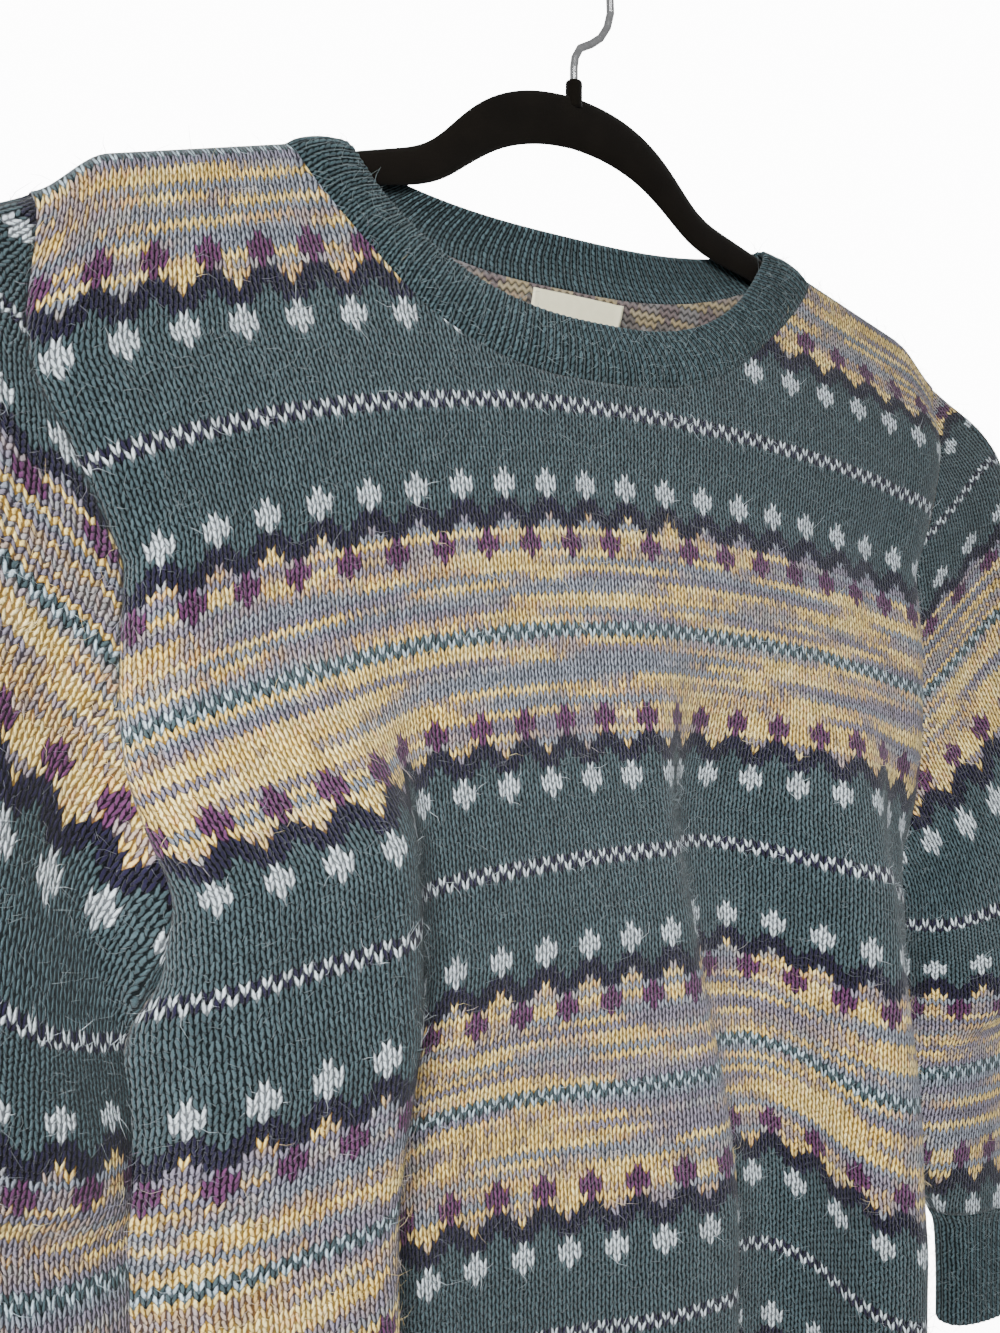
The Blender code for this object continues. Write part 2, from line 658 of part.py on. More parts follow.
def make_band(front_points, back_points, front_normals, back_normals, rib):
    """The ribbed neckband."""
    grid = band_grid(front_points, back_points)
    first, last = neck_span()
    sewn = band_ring(front_normals[0, first:last], back_normals[0, first:last])
    normals = normals_of(grid, True)
    normals = normals * np.sign((normals[1] * sewn).sum())
    normals[0] = sewn * SEAM_THIN
    normals = finer(normals, NECK_PARTS, True)
    grid = finer(grid, NECK_PARTS, True)
    grid[1:-1] += unit(normals[1:-1]) * BAND_BULGE
    rise = rib_rise(*grid.shape[:2], 1)
    wall("neckband", inset(grid, 0, ("first",)), normals, True, rib, rise)


def make_hem(front_normals, back_normals, rib):
    """The ribbed hem band."""
    grid = hem_grid()
    normals = normals_of(grid, True)
    ends = np.concatenate([front_normals[-1], back_normals[-1][::-1][1:-1]])
    normals[0] = finer(ends, HEM_PARTS, True)
    rise = rib_rise(*grid.shape[:2], 1)
    wall("hem_rib", inset(grid, 0, ("first",)), normals, True, rib, rise)


def main():
    """Clear the scene and build the jumper on its hanger."""
    for item in list(bpy.data.objects):
        bpy.data.objects.remove(item, do_unlink=True)
    cloth = {name: material(name, 0.95) for name in ("front", "back", "sleeve", "rib", "label")}
    body_walls(cloth)
    make_hanger(material("velvet", 0.9))
    make_hook(material("wire", 0.3, 1.0))


main()
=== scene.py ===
"""Looks of a fair isle jumper that hangs on a velvet hanger.

Cloth lengths are in millimetres until a mesh is written, as in the part's source. A place
on the body is (c, r): c runs across the cloth and r runs down it from the shoulder line.
Left and right are as seen from the front, so c is below 0 at the left; only the names of
the sleeves and cuffs say the wearer's side. A pair named for rows or columns is the place
where a change begins and the length over which it comes in.
Each knitted piece carries a UV map named "stitches", in stitches across and rows down, and
the yarns are laid out on that map, so the pattern follows the cloth through every fold.
"""
import math

import bpy
import numpy as np
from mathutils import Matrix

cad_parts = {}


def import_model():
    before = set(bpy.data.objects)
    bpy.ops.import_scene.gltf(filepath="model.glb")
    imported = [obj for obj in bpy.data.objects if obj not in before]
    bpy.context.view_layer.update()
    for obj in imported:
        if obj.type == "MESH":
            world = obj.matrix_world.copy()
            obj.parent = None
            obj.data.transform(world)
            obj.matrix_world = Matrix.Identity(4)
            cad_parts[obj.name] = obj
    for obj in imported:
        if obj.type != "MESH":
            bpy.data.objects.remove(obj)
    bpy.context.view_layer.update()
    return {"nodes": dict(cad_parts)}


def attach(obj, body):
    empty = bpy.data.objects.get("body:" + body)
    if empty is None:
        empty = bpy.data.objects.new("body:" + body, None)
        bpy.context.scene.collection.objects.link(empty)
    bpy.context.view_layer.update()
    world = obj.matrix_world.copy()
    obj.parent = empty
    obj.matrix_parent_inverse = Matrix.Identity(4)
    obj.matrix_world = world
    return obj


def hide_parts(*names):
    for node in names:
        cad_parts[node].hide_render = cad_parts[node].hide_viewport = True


MM = 0.001
WALL = 2.4  # thickness of the knitted cloth
STITCH = 4.0  # width of a stitch
ROW = 3.2  # height of a row
FIRST_DOT = 0.96  # c of the dot next to the centre column
RIB = 4.1  # one raised column of the rib and the valley beside it
RIB_DEPTH = 0.9
RIB_SAMPLES = 6  # points across a rib

# Body of the jumper
SHOULDER_Z = -116
SHOULDER_C = 262  # half-width of the cloth at the shoulder line
UNDERARM = 298
BODY_END = 600
HEM_END = 665
HEM_PULL = 0.012  # share by which the hem is drawn in
FRONT_Y = -22
RIDGE_HALF = 5.6  # half the thickness of the body along its shoulder line
RIDGE_ROUND = 3
SLOPE = 0.27
SLOPE_START = 118
TIP_ROLL = 12
TIP_START = 225
TOP_ROW = 70  # r where a panel hangs free of the shoulder line
PLANE_ROW = 110  # r where it has come to its own plane

# Rows down the cloth: name, r, z and x of the centre column, half-width of the cloth,
# how much lower the row hangs at the left and at the right, spread of the columns to the
# left and to the right, set-back of the front's left and right edge, and y of the back
SECTIONS = (
    ("shoulder", 0, -116, -3, 262, 42, 30, 1.06, 1.14, 0, 0, 0),
    ("yoke", 64, -181, -7, 248, 44, 27, 1.04, 1.14, 10, 9, 13),
    ("dots", 134, -250.5, -3, 243, 43, 31, 0.95, 1.04, 13, 14, 20),
    ("band", 198, -314, 6, 247, 41, 36, 0.98, 1.05, 14, 17, 24),
    ("chest", 262, -380.5, 14, 256, 25, 38, 0.99, 1.08, 18, 25, 28),
    ("underarm", 298, -416.5, 20, 268, 25, 36, 1, 1.09, 27, 40, 30),
    ("dip", 333, -455, 26, 275, 26, 36, 1.01, 1.08, 31, 49, 33),
    ("waist", 400, -527, 30, 275, 24, 34, 1.05, 1.10, 34, 52, 38),
    ("hips", 461, -597, 34, 275, 22, 32, 1.06, 1.11, 34, 52, 40),
    ("hem_top", 600, -741, 34, 270, 20, 28, 1.04, 1.10, 34, 50, 42),
    ("hem_end", 665, -809, 32, 262, 20, 28, 1.03, 1.09, 32, 46, 42),
)
Z, X, HALF, FALL_LEFT, FALL_RIGHT, SPREAD_LEFT, SPREAD_RIGHT = range(2, 9)
BACK_LEFT, BACK_RIGHT, BACK_Y = range(9, 12)
TURN_LEFT = 34  # radius of the edges' turn to the back
TURN_RIGHT = 54
BACK_TURN = 0.5  # share of that turn on the back
FALL_SPAN = 240  # c at which a row's fall is whole
PARTS = 240  # steps in which a row is measured
LEAST_RUN = 0.12  # least share of a step that is seen from the front

# The right edge is drawn in and the left edge is let out near the armholes
SIDE_GATHER = 0.09
GATHER_ROWS, GATHER_COLUMNS = (180, 100), (200, 24)
SIDE_FILL = 0.15
FILL_ROWS, FILL_END_ROWS, FILL_COLUMNS = (284, 24), (440, 110), (214, 20)

# Gap of the armhole at the shoulder, and how much it widens at the left and at the right
ARM_OPEN = (9, 21, 14)
ARM_OPEN_ROW = 150
ARM_PULL_ROW = 40
SEAM_HALF, SEAM_DEPTH, SEAM_FADE = 5, 1.1, 20

# Steps of the folds, which are told at the chest and at the hips
CHEST_ROW, HIP_ROW = 262, 461

# Name, c at the chest and at the hips, cloth in the step, depth at the chest and at the
# hips, drop at the chest and at the hips, r where it starts and is full
FRONT_STEPS = (
    ("left_rise", -205, -215, 90, -9, -13, 0, 0, 180, 320),
    ("left_flank", -140, -156, 60, 33, 33, -7, -20, 180, 268),
    ("centre_tilt", -55, -65, 150, 0, 0, 0, 14, 300, 420),
    ("centre_rise", -50, -10, 110, -5, -15, 0, 0, 262, 420),
    ("centre_step", 38, 60, 50, 27, 33, 0, -9, 172, 296),
    ("right_rise", 116, 144, 96, -46, -64, 4, 24, 184, 310),
    ("right_fall", 186, 208, 44, 21, 17, 6, -4, 190, 300),
)
BACK_STEPS = (
    ("left_fall", -190, -205, 70, 8, 20, 0, -6, 200, 380),
    ("left_turn", -110, -120, 60, -12, -24, 0, 8, 190, 400),
    ("middle_fall", -20, -25, 90, 7, 16, 0, -4, 240, 420),
    ("middle_turn", 70, 75, 60, -10, -20, 0, 4, 220, 400),
    ("right_fall", 165, 180, 70, 8, 18, 0, 0, 200, 380),
)

# Soft creases: name, c and r of one end, c and r of the other, half-width and depth.
# A depth below zero is a ridge. On a sleeve c is the turn and r is z
FRONT_CREASES = (
    ("left_armpit", -232, 268, -178, 232, 13, 2.2),
    ("left_armpit_low", -246, 306, -196, 300, 12, 1.8),
    ("chest_dip", -30, 196, -12, 262, 26, 2),
    ("chest_rise", 22, 214, 30, 290, 20, -1.4),
    ("yoke_pull_left", -236, 96, -150, 150, 24, 1.8),
    ("yoke_pull_right", 214, 70, 176, 190, 20, 2.4),
    ("right_shoulder", 232, 120, 206, 250, 12, -1.8),
    ("right_armpit", 244, 276, 200, 246, 12, 2),
    ("waist_wave", -96, 410, -84, 590, 22, 2.2),
    ("hip_wave", 8, 430, 0, 596, 22, -2),
    ("right_wave", 178, 380, 184, 596, 18, 1.8),
)
BACK_CREASES = (
    ("blade_left", -206, 120, -120, 190, 24, 2.2),
    ("blade_right", 210, 110, 130, 200, 26, 2.4),
    ("armpit_left", -236, 272, -176, 240, 14, 2.2),
    ("armpit_right", 238, 280, 180, 240, 14, 2.2),
    ("spine", -10, 90, 4, 240, 30, -2),
    ("small_of_back", 30, 300, 20, 560, 26, 2.4),
    ("left_wave", -160, 350, -166, 596, 20, -2),
    ("right_wave", 130, 330, 136, 590, 20, 2),
)
SLEEVE_CREASES = (
    ("elbow_front", 0.30, -430, 0.42, -500, 0.035, 3),
    ("elbow_fold", 0.16, -470, 0.30, -512, 0.030, 2.2),
    ("bulge_under", 0.38, -508, 0.50, -520, 0.030, 2),
    ("elbow_back", 0.62, -440, 0.80, -505, 0.040, 2.8),
    ("forearm", 0.20, -560, 0.28, -628, 0.030, 1.6),
    ("forearm_back", 0.70, -550, 0.78, -620, 0.030, 1.6),
    ("head_front", 0.12, -250, 0.20, -380, 0.040, -2),
    ("head_back", 0.86, -240, 0.80, -390, 0.040, -2),
)

CREASE_END = 0.35  # share of a crease's depth at its ends
TURN_PER_MM = 0.0012  # of a sleeve, to weigh its creases' lengths

# Neckline and neckband: ends on the cloth and in x, depths, and how level each edge leaves
NECK_C = (-128, 138)
NECK_X = (-151, 160)
TIP_X = (-254, 268)
FRONT_NECK = 87
BACK_NECK = 40
NECK_LEAVE, BAND_LEAVE = 15, 11
NECK_CROWD, NECK_SQUARE = 1.35, 0.8  # crowding of its points, and squareness of its curve
BAND_X = (-125, 127)
BAND_FRONT = 62
BAND_BACK = 17
BAND_BULGE = 1.6
BAND_RIB_LOSS, BAND_RIB_COLUMNS = 0.8, (55, 50)

# Sleeves from the armhole down: name, x and z of the outer edge, x and z of the inner
# edge, and half-depth; x counts outward from the body's middle
SLEEVE_RINGS = (
    ("cap", 298, -190, 227.5, -459, 17),
    ("head", 326, -250, 228, -467, 24),
    ("upper", 343, -322, 226, -477, 30),
    ("elbow", 351, -400, 224.5, -491, 37),
    ("bulge", 352, -456, 224, -508, 41),
    ("sag", 347, -492, 224, -524, 37),
    ("pinch", 339, -514, 223, -540, 25),
    ("forearm", 334, -548, 224, -562, 24),
    ("lower", 333, -592, 228, -598, 22),
    ("wrist", 334, -636, 250, -636, 19),
)
CUFF_RINGS = (
    ("top", 334, -636, 250, -636, 19),
    ("gather", 330, -646, 255, -646, 15),
    ("middle", 328, -674, 257, -674, 14),
    ("end", 328, -702, 257, -702, 14),
)
SLEEVE_Y = 2
SLEEVE_SQUARE = 0.8
SLEEVE_FOLLOW = (0.65, 0.3)  # how far the first rings keep to the armhole's y
SLEEVE_MIDDLE = (7, 32)  # x from which the wearer's right and left sleeves count
SLEEVE_DROP = (0, 12)
SLEEVE_SEAM = (2.2, 0.9)  # reach in rings and depth of the groove at the armhole

# How the knitted rows lie on a sleeve: name, distance down the cloth, z of the row on the
# line ROW_X outward, its fall towards the body there, and its z on the outer edge
ROW_X = 250
OUTER_COLUMNS = (262, 88)
SLEEVE_ROWS = (
    ("shoulder", 40, -170, 0.80, -158),
    ("dots", 134, -256, 0.78, -240),
    ("berries_high", 160, -278.7, 0.78, -264),
    ("light_band", 198.4, -315, 0.80, -296),
    ("berries", 237, -370, 0.80, -335),
    ("navy", 250, -391, 0.76, -350),
    ("white_dots", 262, -412, 0.68, -364),
    ("teal_lice", 297.6, -462, 0.28, -408),
    ("low_dots", 333, -486, 0.16, -450),
    ("under_bulge", 352, -505, 0.10, -475),
    ("low_light", 396.8, -548, 0.05, -530),
    ("wrist", 468, -640, 0, -634),
)

LABEL_C = (-15, 34)
LABEL_R = (42, 57)
LABEL_WALL = 0.7
LABEL_GAP = 0.9

# Loose fibres: shortest, how much longer the others are, and the same for the few strays
FIBRE_LENGTH = (2.5, 6)
STRAY_LENGTH = (9, 8)
STRAYS = 12

# Hanger: distance from its middle, z of the upper edge and z of the lower edge
HANGER_OUTLINE = (
    ("middle", 0, -68.2, -93.4),
    ("crown", 14, -68.9, -94.1),
    ("shoulder", 28, -71.2, -96.8),
    ("turn", 42, -76, -101.6),
    ("side", 54, -82.8, -108.6),
    ("flank", 63.5, -90.6, -115.2),
    ("waist", 71.5, -98.4, -120.8),
    ("foot", 79.5, -105.6, -124.8),
    ("root", 89, -110.8, -128),
    ("heel", 102, -114.4, -130.6),
    ("arm", 122, -120.2, -134),
    ("arm_middle", 170, -134, -147),
    ("arm_end", 212, -145.3, -158.3),
    ("tip", 220.5, -148.5, -158.5),
)
HANGER_HALF = 2.8
HANGER_SLAB = 2  # first slice, from the middle
NUB = (3.9, -61.2, -74)  # radius, top and foot of the stub that holds the hook

# The yarns, as the chart numbers them
TEAL, WHITE, ICE, NAVY, PLUM, DYED = range(6)
YARNS = (
    ("teal", 0x3E4F54),
    ("white", 0xC9D4DB),
    ("ice", 0xAFC3CE),
    ("navy", 0x1E1B31),
    ("plum", 0x5A3055),
    ("dyed", 0xD8C592),
)

# Half of the chart, from the teal band's lice to the light band's: name, first row, yarn
# of the motif, yarn around it, and how far the motif reaches from its middle stitch
LICE = 9  # reach that stands for every other stitch
CHART = (
    ("lice", 0, WHITE, NAVY, LICE),
    ("ground", 1, TEAL, TEAL, 0),
    ("dot_tip", 9, WHITE, TEAL, 1),
    ("dot", 10, WHITE, TEAL, 2),
    ("dot_end", 12, WHITE, TEAL, 1),
    ("peak_tip", 13, NAVY, TEAL, 2),
    ("peak", 14, NAVY, TEAL, 3),
    ("tree_tip", 15, DYED, NAVY, 1),
    ("tree", 16, DYED, NAVY, 2),
    ("berry_tip", 17, DYED, PLUM, 3),
    ("berry", 18, DYED, PLUM, 2),
    ("berry_end", 20, DYED, PLUM, 3),
    ("dyed", 21, DYED, DYED, 0),
    ("light_lice", 30, ICE, TEAL, LICE),
)
HALF_CHART = 31
REPEAT = 6

# Colours of the space-dyed yarn, along the value that picks them
DYES = (
    (0, 0x77828F),
    (0.38, 0x8A8F9C),
    (0.42, 0xA7A39F),
    (0.448, 0x988A93),
    (0.468, 0xBFA77C),
    (0.485, 0xE6C772),
    (0.525, 0xF0D888),
    (0.555, 0xF3E0A2),
    (0.575, 0xDBB470),
    (0.60, 0xA99892),
    (0.64, 0x857E8E),
    (1, 0x76778A),
)
DYE_RUN = 0.019  # how fast the colour changes from stitch to stitch
DYE_POOL = (0.014, 0.3)  # the same for the slow changes, across and down

# Unevenness of the knitting: scale, and how far it moves a stitch in its column and row
WAVERS = ((0.5, (0.42, 0.55, 0)), (2.6, (0.16, 0.2, 0)))
LEG_MIDDLE, LEG_HALF = 0.46, 0.52  # of a stitch's leg, in rows
FIBRE_SCALE = (9, 3.2, 1.7)
# Tint by which the yarn is darkened for the painted shade in the gaps between stitches
GAP_SHADE_TINT = (0.15, 0.13, 0.12, 1)

# Stage; lamps have a name, place, size, watts and spread in degrees
FLOOR_SIZE, FLOOR_Z, FLOOR_GLOW = 40, -1.35, 11
ROOM_LIGHT, ROOM_GLOW = 0.36, 13
LAMPS = (
    ("window", (-1.15, -1.2, 0.08), 0.5, 4.6, 40),
    ("fill", (0.2, -2.1, 0.2), 1.6, 5, 180),
    ("behind", (0.6, 1.8, -0.1), 1.6, 30, 180),
)
LAMP_AIM = (-0.06, 0, -0.42)
CAMERA_PLACE, CAMERA_TURN = (-0.439, -0.5065, -0.333), -38
CAMERA_LENS = (39.16, 36, 0.0026)  # focal length, sensor's width and shift up


# ---------------------------------------------------------------- shape of the cloth
def smooth(t):
    """Ease from 0 to 1 while t goes from 0 to 1."""
    t = np.clip(t, 0.0, 1.0)
    return t * t * (3.0 - 2.0 * t)


def rise(value, start, over):
    """Ease from 0 to 1 over a length that begins at start."""
    return smooth((value - start) / over)


def between(r, column):
    """One column of the body's sections, read at row r."""
    rows = [section[1] for section in SECTIONS]
    return np.interp(r, rows, [section[column] for section in SECTIONS])


def folds(c, r, steps):
    """Depth and drop of the folds at (c, r), both zero on the centre column."""
    depth = np.zeros_like(c)
    drop = np.zeros_like(c)
    t = rise(r, CHEST_ROW, HIP_ROW - CHEST_ROW)
    for _, c0, c1, width, d0, d1, f0, f1, start, full in steps:
        grow = rise(r, start, full - start)
        middle = c0 + (c1 - c0) * t
        place = smooth((c - middle) / width + 0.5) - smooth(-middle / width + 0.5)
        depth = depth + grow * (d0 + (d1 - d0) * t) * place
        drop = drop + grow * (f0 + (f1 - f0) * t) * place
    return depth, drop


def ridge_x(c):
    """Place of column c on the shoulder line."""
    return np.interp(c, (-SHOULDER_C, *NECK_C, SHOULDER_C), (TIP_X[0], *NECK_X, TIP_X[1]))


def ridge_z(x):
    """Height of the middle of the cloth on the shoulder line at x."""
    return SHOULDER_Z - SLOPE * np.maximum(np.abs(x) - SLOPE_START, 0.0)


def plane_y(r, side):
    """y of a panel without its folds at row r; side is -1 for the front, 1 for the back."""
    over = RIDGE_HALF * (1.0 - np.exp(-r / RIDGE_ROUND))
    flat = -FRONT_Y if side < 0 else between(r, BACK_Y)
    ease = smooth(r / PLANE_ROW)
    return side * np.maximum(over, flat * ease + over * (1.0 - ease))


def edge_turn(c, r):
    """How far a panel has turned inward near its edges, along an arc of a circle."""
    radius = np.where(c < 0.0, TURN_LEFT, TURN_RIGHT)
    set_back = np.where(c < 0.0, between(r, BACK_LEFT), between(r, BACK_RIGHT))
    angle = np.arccos(np.clip(1.0 - set_back / radius, 0.0, 1.0))
    along = (np.abs(c) - between(r, HALF)) / radius + angle
    return radius * (1.0 - np.cos(np.clip(along, 0.0, angle + 0.05)))


def cloth_depth(c, r, side):
    """y and drop of a panel at (c, r)."""
    depth, drop = folds(c, r, FRONT_STEPS if side < 0 else BACK_STEPS)
    fall = np.where(c < 0.0, between(r, FALL_LEFT), between(r, FALL_RIGHT))
    drop = drop + fall * (c / FALL_SPAN) ** 2
    turn = edge_turn(c, r) if side < 0 else BACK_TURN * edge_turn(c, r)
    return plane_y(r, side) + depth - side * turn, drop


def panel(c, r, side):
    """Points of a panel's middle surface at the cloth places (c, r)."""
    row = r[..., None]
    half = between(row, HALF) + 1.0
    cloth = np.linspace(-1.0, 1.0, PARTS + 1) * half
    y_line, drop_line = cloth_depth(cloth, row + 0.0 * cloth, side)
    step = 2.0 * half / PARTS
    ends = cloth[..., 1:]
    spread = np.where(ends <= 0.0, between(row, SPREAD_LEFT), between(row, SPREAD_RIGHT))
    gather = rise(row, *GATHER_ROWS) * rise(ends, *GATHER_COLUMNS)
    fill = rise(row, *FILL_ROWS) * (1.0 - rise(row, *FILL_END_ROWS)) * rise(-ends, *FILL_COLUMNS)
    spread = spread * (1.0 - SIDE_GATHER * gather + SIDE_FILL * fill)
    run = (spread * step) ** 2 - np.diff(y_line, axis=-1) ** 2 - np.diff(drop_line, axis=-1) ** 2
    run = np.sqrt(np.maximum(run, (LEAST_RUN * step) ** 2))
    x_line = np.concatenate([0.0 * half, np.cumsum(run, axis=-1)], axis=-1)
    x_line = x_line - x_line[..., PARTS // 2, None] + between(row, X)
    place = (c / half[..., 0] + 1.0) * PARTS / 2.0
    low = np.clip(np.floor(place).astype(int), 0, PARTS - 1)[..., None]
    part = place - low[..., 0]
    first = np.take_along_axis(x_line, low, axis=-1)[..., 0]
    second = np.take_along_axis(x_line, low + 1, axis=-1)[..., 0]
    y, drop = cloth_depth(c, r, side)
    top = smooth(r / TOP_ROW)
    x_ridge = ridge_x(c)
    x = x_ridge + (first + (second - first) * part - x_ridge) * top
    roll = TIP_ROLL * rise(np.abs(c), TIP_START, SHOULDER_C - TIP_START)
    line = SHOULDER_Z - ridge_z(x) + roll
    return np.stack([x, y, between(r, Z) - line * (1.0 - top) - drop * top], axis=-1)


def front(c, r):
    """Middle surface of the front."""
    return panel(c, r, -1)


def back(c, r):
    """Middle surface of the back; its sides meet the front's, and the armholes open."""
    edge = between(r, HALF)
    points = panel(c, r, 1)
    wide = np.where(c < 0.0, ARM_OPEN[1], ARM_OPEN[2])
    gape = ARM_OPEN[0] + wide * smooth(r / ARM_OPEN_ROW)
    gape = gape * np.clip(1.0 - (r / UNDERARM) ** 10, 0.0, 1.0)
    for sign in (-1.0, 1.0):
        gap = panel(sign * edge, r, -1) - panel(sign * edge, r, 1)
        gap[..., 1] += gape
        pull = smooth(sign * c / edge) ** 2 * smooth(r / ARM_PULL_ROW)
        points = points + gap * pull[..., None]
    return points


def loop(front_line, back_line):
    """A closed line, across the front and back across the back."""
    return np.concatenate([front_line, back_line[::-1][1:-1]])


def neck_curve(left, right, leave, depth, count):
    """Places across and depths of the neckline or of the band's edge, left to right."""
    turns = np.linspace(0.0, 1.0, count) ** NECK_CROWD * math.pi / 2.0
    reach = np.maximum(np.cos(turns), 0.0) ** NECK_SQUARE
    across = np.sin(2.0 * turns) * leave
    deep = np.sin(turns) * depth
    places = np.concatenate([left * reach + across, (right * reach - across)[:-1][::-1]])
    return places, np.concatenate([deep, deep[:-1][::-1]])


def unit(vectors):
    """Vectors scaled to length 1."""
    return vectors / np.maximum(np.linalg.norm(vectors, axis=-1, keepdims=True), 1e-9)


def normals_of(points, closed):
    """Unit normals of a grid of points, away from the middle plane."""
    if closed:
        across = np.roll(points, -1, axis=1) - np.roll(points, 1, axis=1)
        middle = points.mean(axis=1, keepdims=True)
    else:
        across = np.gradient(points, axis=1)
        middle = np.zeros(3)
    normal = unit(np.cross(across, np.gradient(points, axis=0)))
    away = normal[..., 1] * (points - middle)[..., 1]
    return normal * np.sign(away.sum())


def creased(points, normals, across, down, creases, squash=1.0):
    """Points moved along their normals by soft troughs and ridges."""
    move = np.zeros(across.shape)
    for _, c0, r0, c1, r1, half, depth in creases:
        along_c, along_r = (c1 - c0), (r1 - r0) * squash
        length = along_c**2 + along_r**2
        part = ((across - c0) * along_c + (down - r0) * squash * along_r) / length
        near = np.clip(part, 0.0, 1.0)
        off_c = across - c0 - near * along_c
        off_r = (down - r0) * squash - near * along_r
        distance = np.sqrt(off_c**2 + off_r**2) / half
        fade = CREASE_END + (1.0 - CREASE_END) * np.sin(math.pi * near)
        move -= depth * fade * np.exp(-(distance**2))
    return points + normals * move[..., None]


# ---------------------------------------------------------------- meshes
def new_object(name, data):
    """A new object in the scene."""
    item = bpy.data.objects.new(name, data)
    bpy.context.scene.collection.objects.link(item)
    return item


def mesh_piece(name, points, faces, places, *materials):
    """A named object from points in millimetres, with its stitch map."""
    data = bpy.data.meshes.new(name)
    data.from_pydata((points * MM).tolist(), [], faces)
    layer = data.uv_layers.new(name="stitches")
    layer.data.foreach_set("uv", np.asarray(places, np.float32).ravel())
    for made in materials:
        data.materials.append(made)
    data.shade_smooth()
    data.update()
    return new_object(name, data)


def apply(item, kind, **settings):
    """Put a modifier on the active object and apply it."""
    modifier = item.modifiers.new("shape", kind)
    for key, value in settings.items():
        setattr(modifier, key, value)
    bpy.ops.object.modifier_apply(modifier=modifier.name)


def thicken(item, wall, inner):
    """A sheet with its wall, whose inner side and rim are that many materials further on."""
    bpy.ops.object.select_all(action="DESELECT")
    bpy.context.view_layer.objects.active = item
    item.select_set(True)
    apply(item, "SOLIDIFY", thickness=wall * MM, offset=0.0, material_offset=inner, material_offset_rim=inner)
    return item


def grid_faces(rows, columns, around, over):
    """Corners of a grid's faces, and the places of those corners on the map."""
    i, j = np.meshgrid(
        np.arange(rows if over else rows - 1),
        np.arange(columns if around else columns - 1),
        indexing="ij",
    )
    i, j = i.ravel(), j.ravel()
    down, along = (i + 1) % rows, (j + 1) % columns
    faces = np.stack([i * columns + j, down * columns + j, down * columns + along, i * columns + along], 1)
    corner = i * (columns + 1) + j
    return faces, np.stack([corner, corner + columns + 1, corner + columns + 2, corner + 1], 1)


def face_sign(points, faces, middle_y):
    """1 if the faces point away from the middle plane, -1 if they point to it."""
    a, b, c = (points[faces[:, k]] for k in range(3))
    normal = np.cross(b - a, c - b)
    return np.sign((normal[:, 1] * (a[:, 1] - middle_y)).sum())


def sheet_parts(points, stitches, around):
    """Points, faces and corners on the map of a grid of points."""
    faces, corners = grid_faces(*points.shape[:2], around, False)
    if not around:
        stitches = np.concatenate([stitches, stitches[:, -1:]], axis=1)
    return points.reshape(-1, 3), faces, stitches.reshape(-1, 2)[corners]


def sheet_of(name, points, stitches, around, materials, middle_y=0.0):
    """A wall of cloth with open ends around a grid of middle points."""
    flat, faces, places = sheet_parts(points, stitches, around)
    if face_sign(flat, faces, middle_y) < 0.0:
        faces, places = faces[:, ::-1], places[:, ::-1]
    return thicken(mesh_piece(name, flat, faces.tolist(), places, *materials), WALL, 1)


def rib_of(name, points, stitches, middle_y, made, waves):
    """A ribbed band: a wall with a rounded cast-off edge and ribs on both of its sides."""
    normals = normals_of(points, True)
    rows, columns = points.shape[:2]
    rise_of_rib = np.cos(2.0 * math.pi * waves)
    fade = smooth(np.arange(rows) / 2.0)[:, None]
    outer = WALL / 2.0 + RIB_DEPTH * 0.5 * (rise_of_rib + 0.2) * fade
    inner = WALL / 2.0 - RIB_DEPTH * 0.5 * (rise_of_rib - 0.2) * fade
    layers = [points + normals * outer[..., None]]
    end, out = points[-1], unit(points[-1] - points[-2])
    for turn in (0.28, 0.5, 0.72):
        reach = (outer[-1] * (1.0 - turn) + inner[-1] * turn)[:, None]
        rim = end + (normals[-1] * math.cos(turn * math.pi) + out * math.sin(turn * math.pi)) * reach
        layers.append(rim[None])
    layers.append((points - normals * inner[..., None])[::-1])
    tube = np.concatenate(layers)
    faces, corners = grid_faces(tube.shape[0], columns, True, True)
    places = np.concatenate([stitches, np.repeat(stitches[-1:], 3, axis=0), stitches[::-1]])
    places = np.concatenate([places, places[:1]]).reshape(-1, 2)[corners]
    flat = tube.reshape(-1, 3)
    if face_sign(flat, faces[: (rows - 1) * columns], middle_y) < 0.0:
        faces, places = faces[:, ::-1], places[:, ::-1]
    return mesh_piece(name, flat, faces.tolist(), places, made)


# ---------------------------------------------------------------- pieces of cloth
def panel_places(depth):
    """(c, r) of a fine panel's points, from its shoulders and neckline down to its foot."""
    left = np.linspace(-SHOULDER_C, NECK_C[0], 46)[:-1]
    right = np.linspace(NECK_C[1], SHOULDER_C, 43)[1:]
    neck_c, neck_r = neck_curve(*NECK_C, NECK_LEAVE, depth, 44)
    top_c = np.concatenate([left, neck_c, right])
    top_r = np.concatenate([np.zeros(len(left)), neck_r, np.zeros(len(right))])
    fraction = np.linspace(-1.0, 1.0, len(top_c))
    rows = np.concatenate([np.linspace(0.0, UNDERARM, 92), np.linspace(UNDERARM, BODY_END, 76)[1:]])
    down = (rows / BODY_END)[:, None]
    r = top_r + (BODY_END - top_r) * down
    even = smooth(down / 0.3)
    c = (top_c / SHOULDER_C * (1.0 - even) + fraction * even) * between(r, HALF)
    return c, r


def on_map(c, r):
    """Stitches across and rows down at a place on the cloth."""
    return np.stack([(c - FIRST_DOT) / STITCH + 0.5, r / ROW], axis=-1)


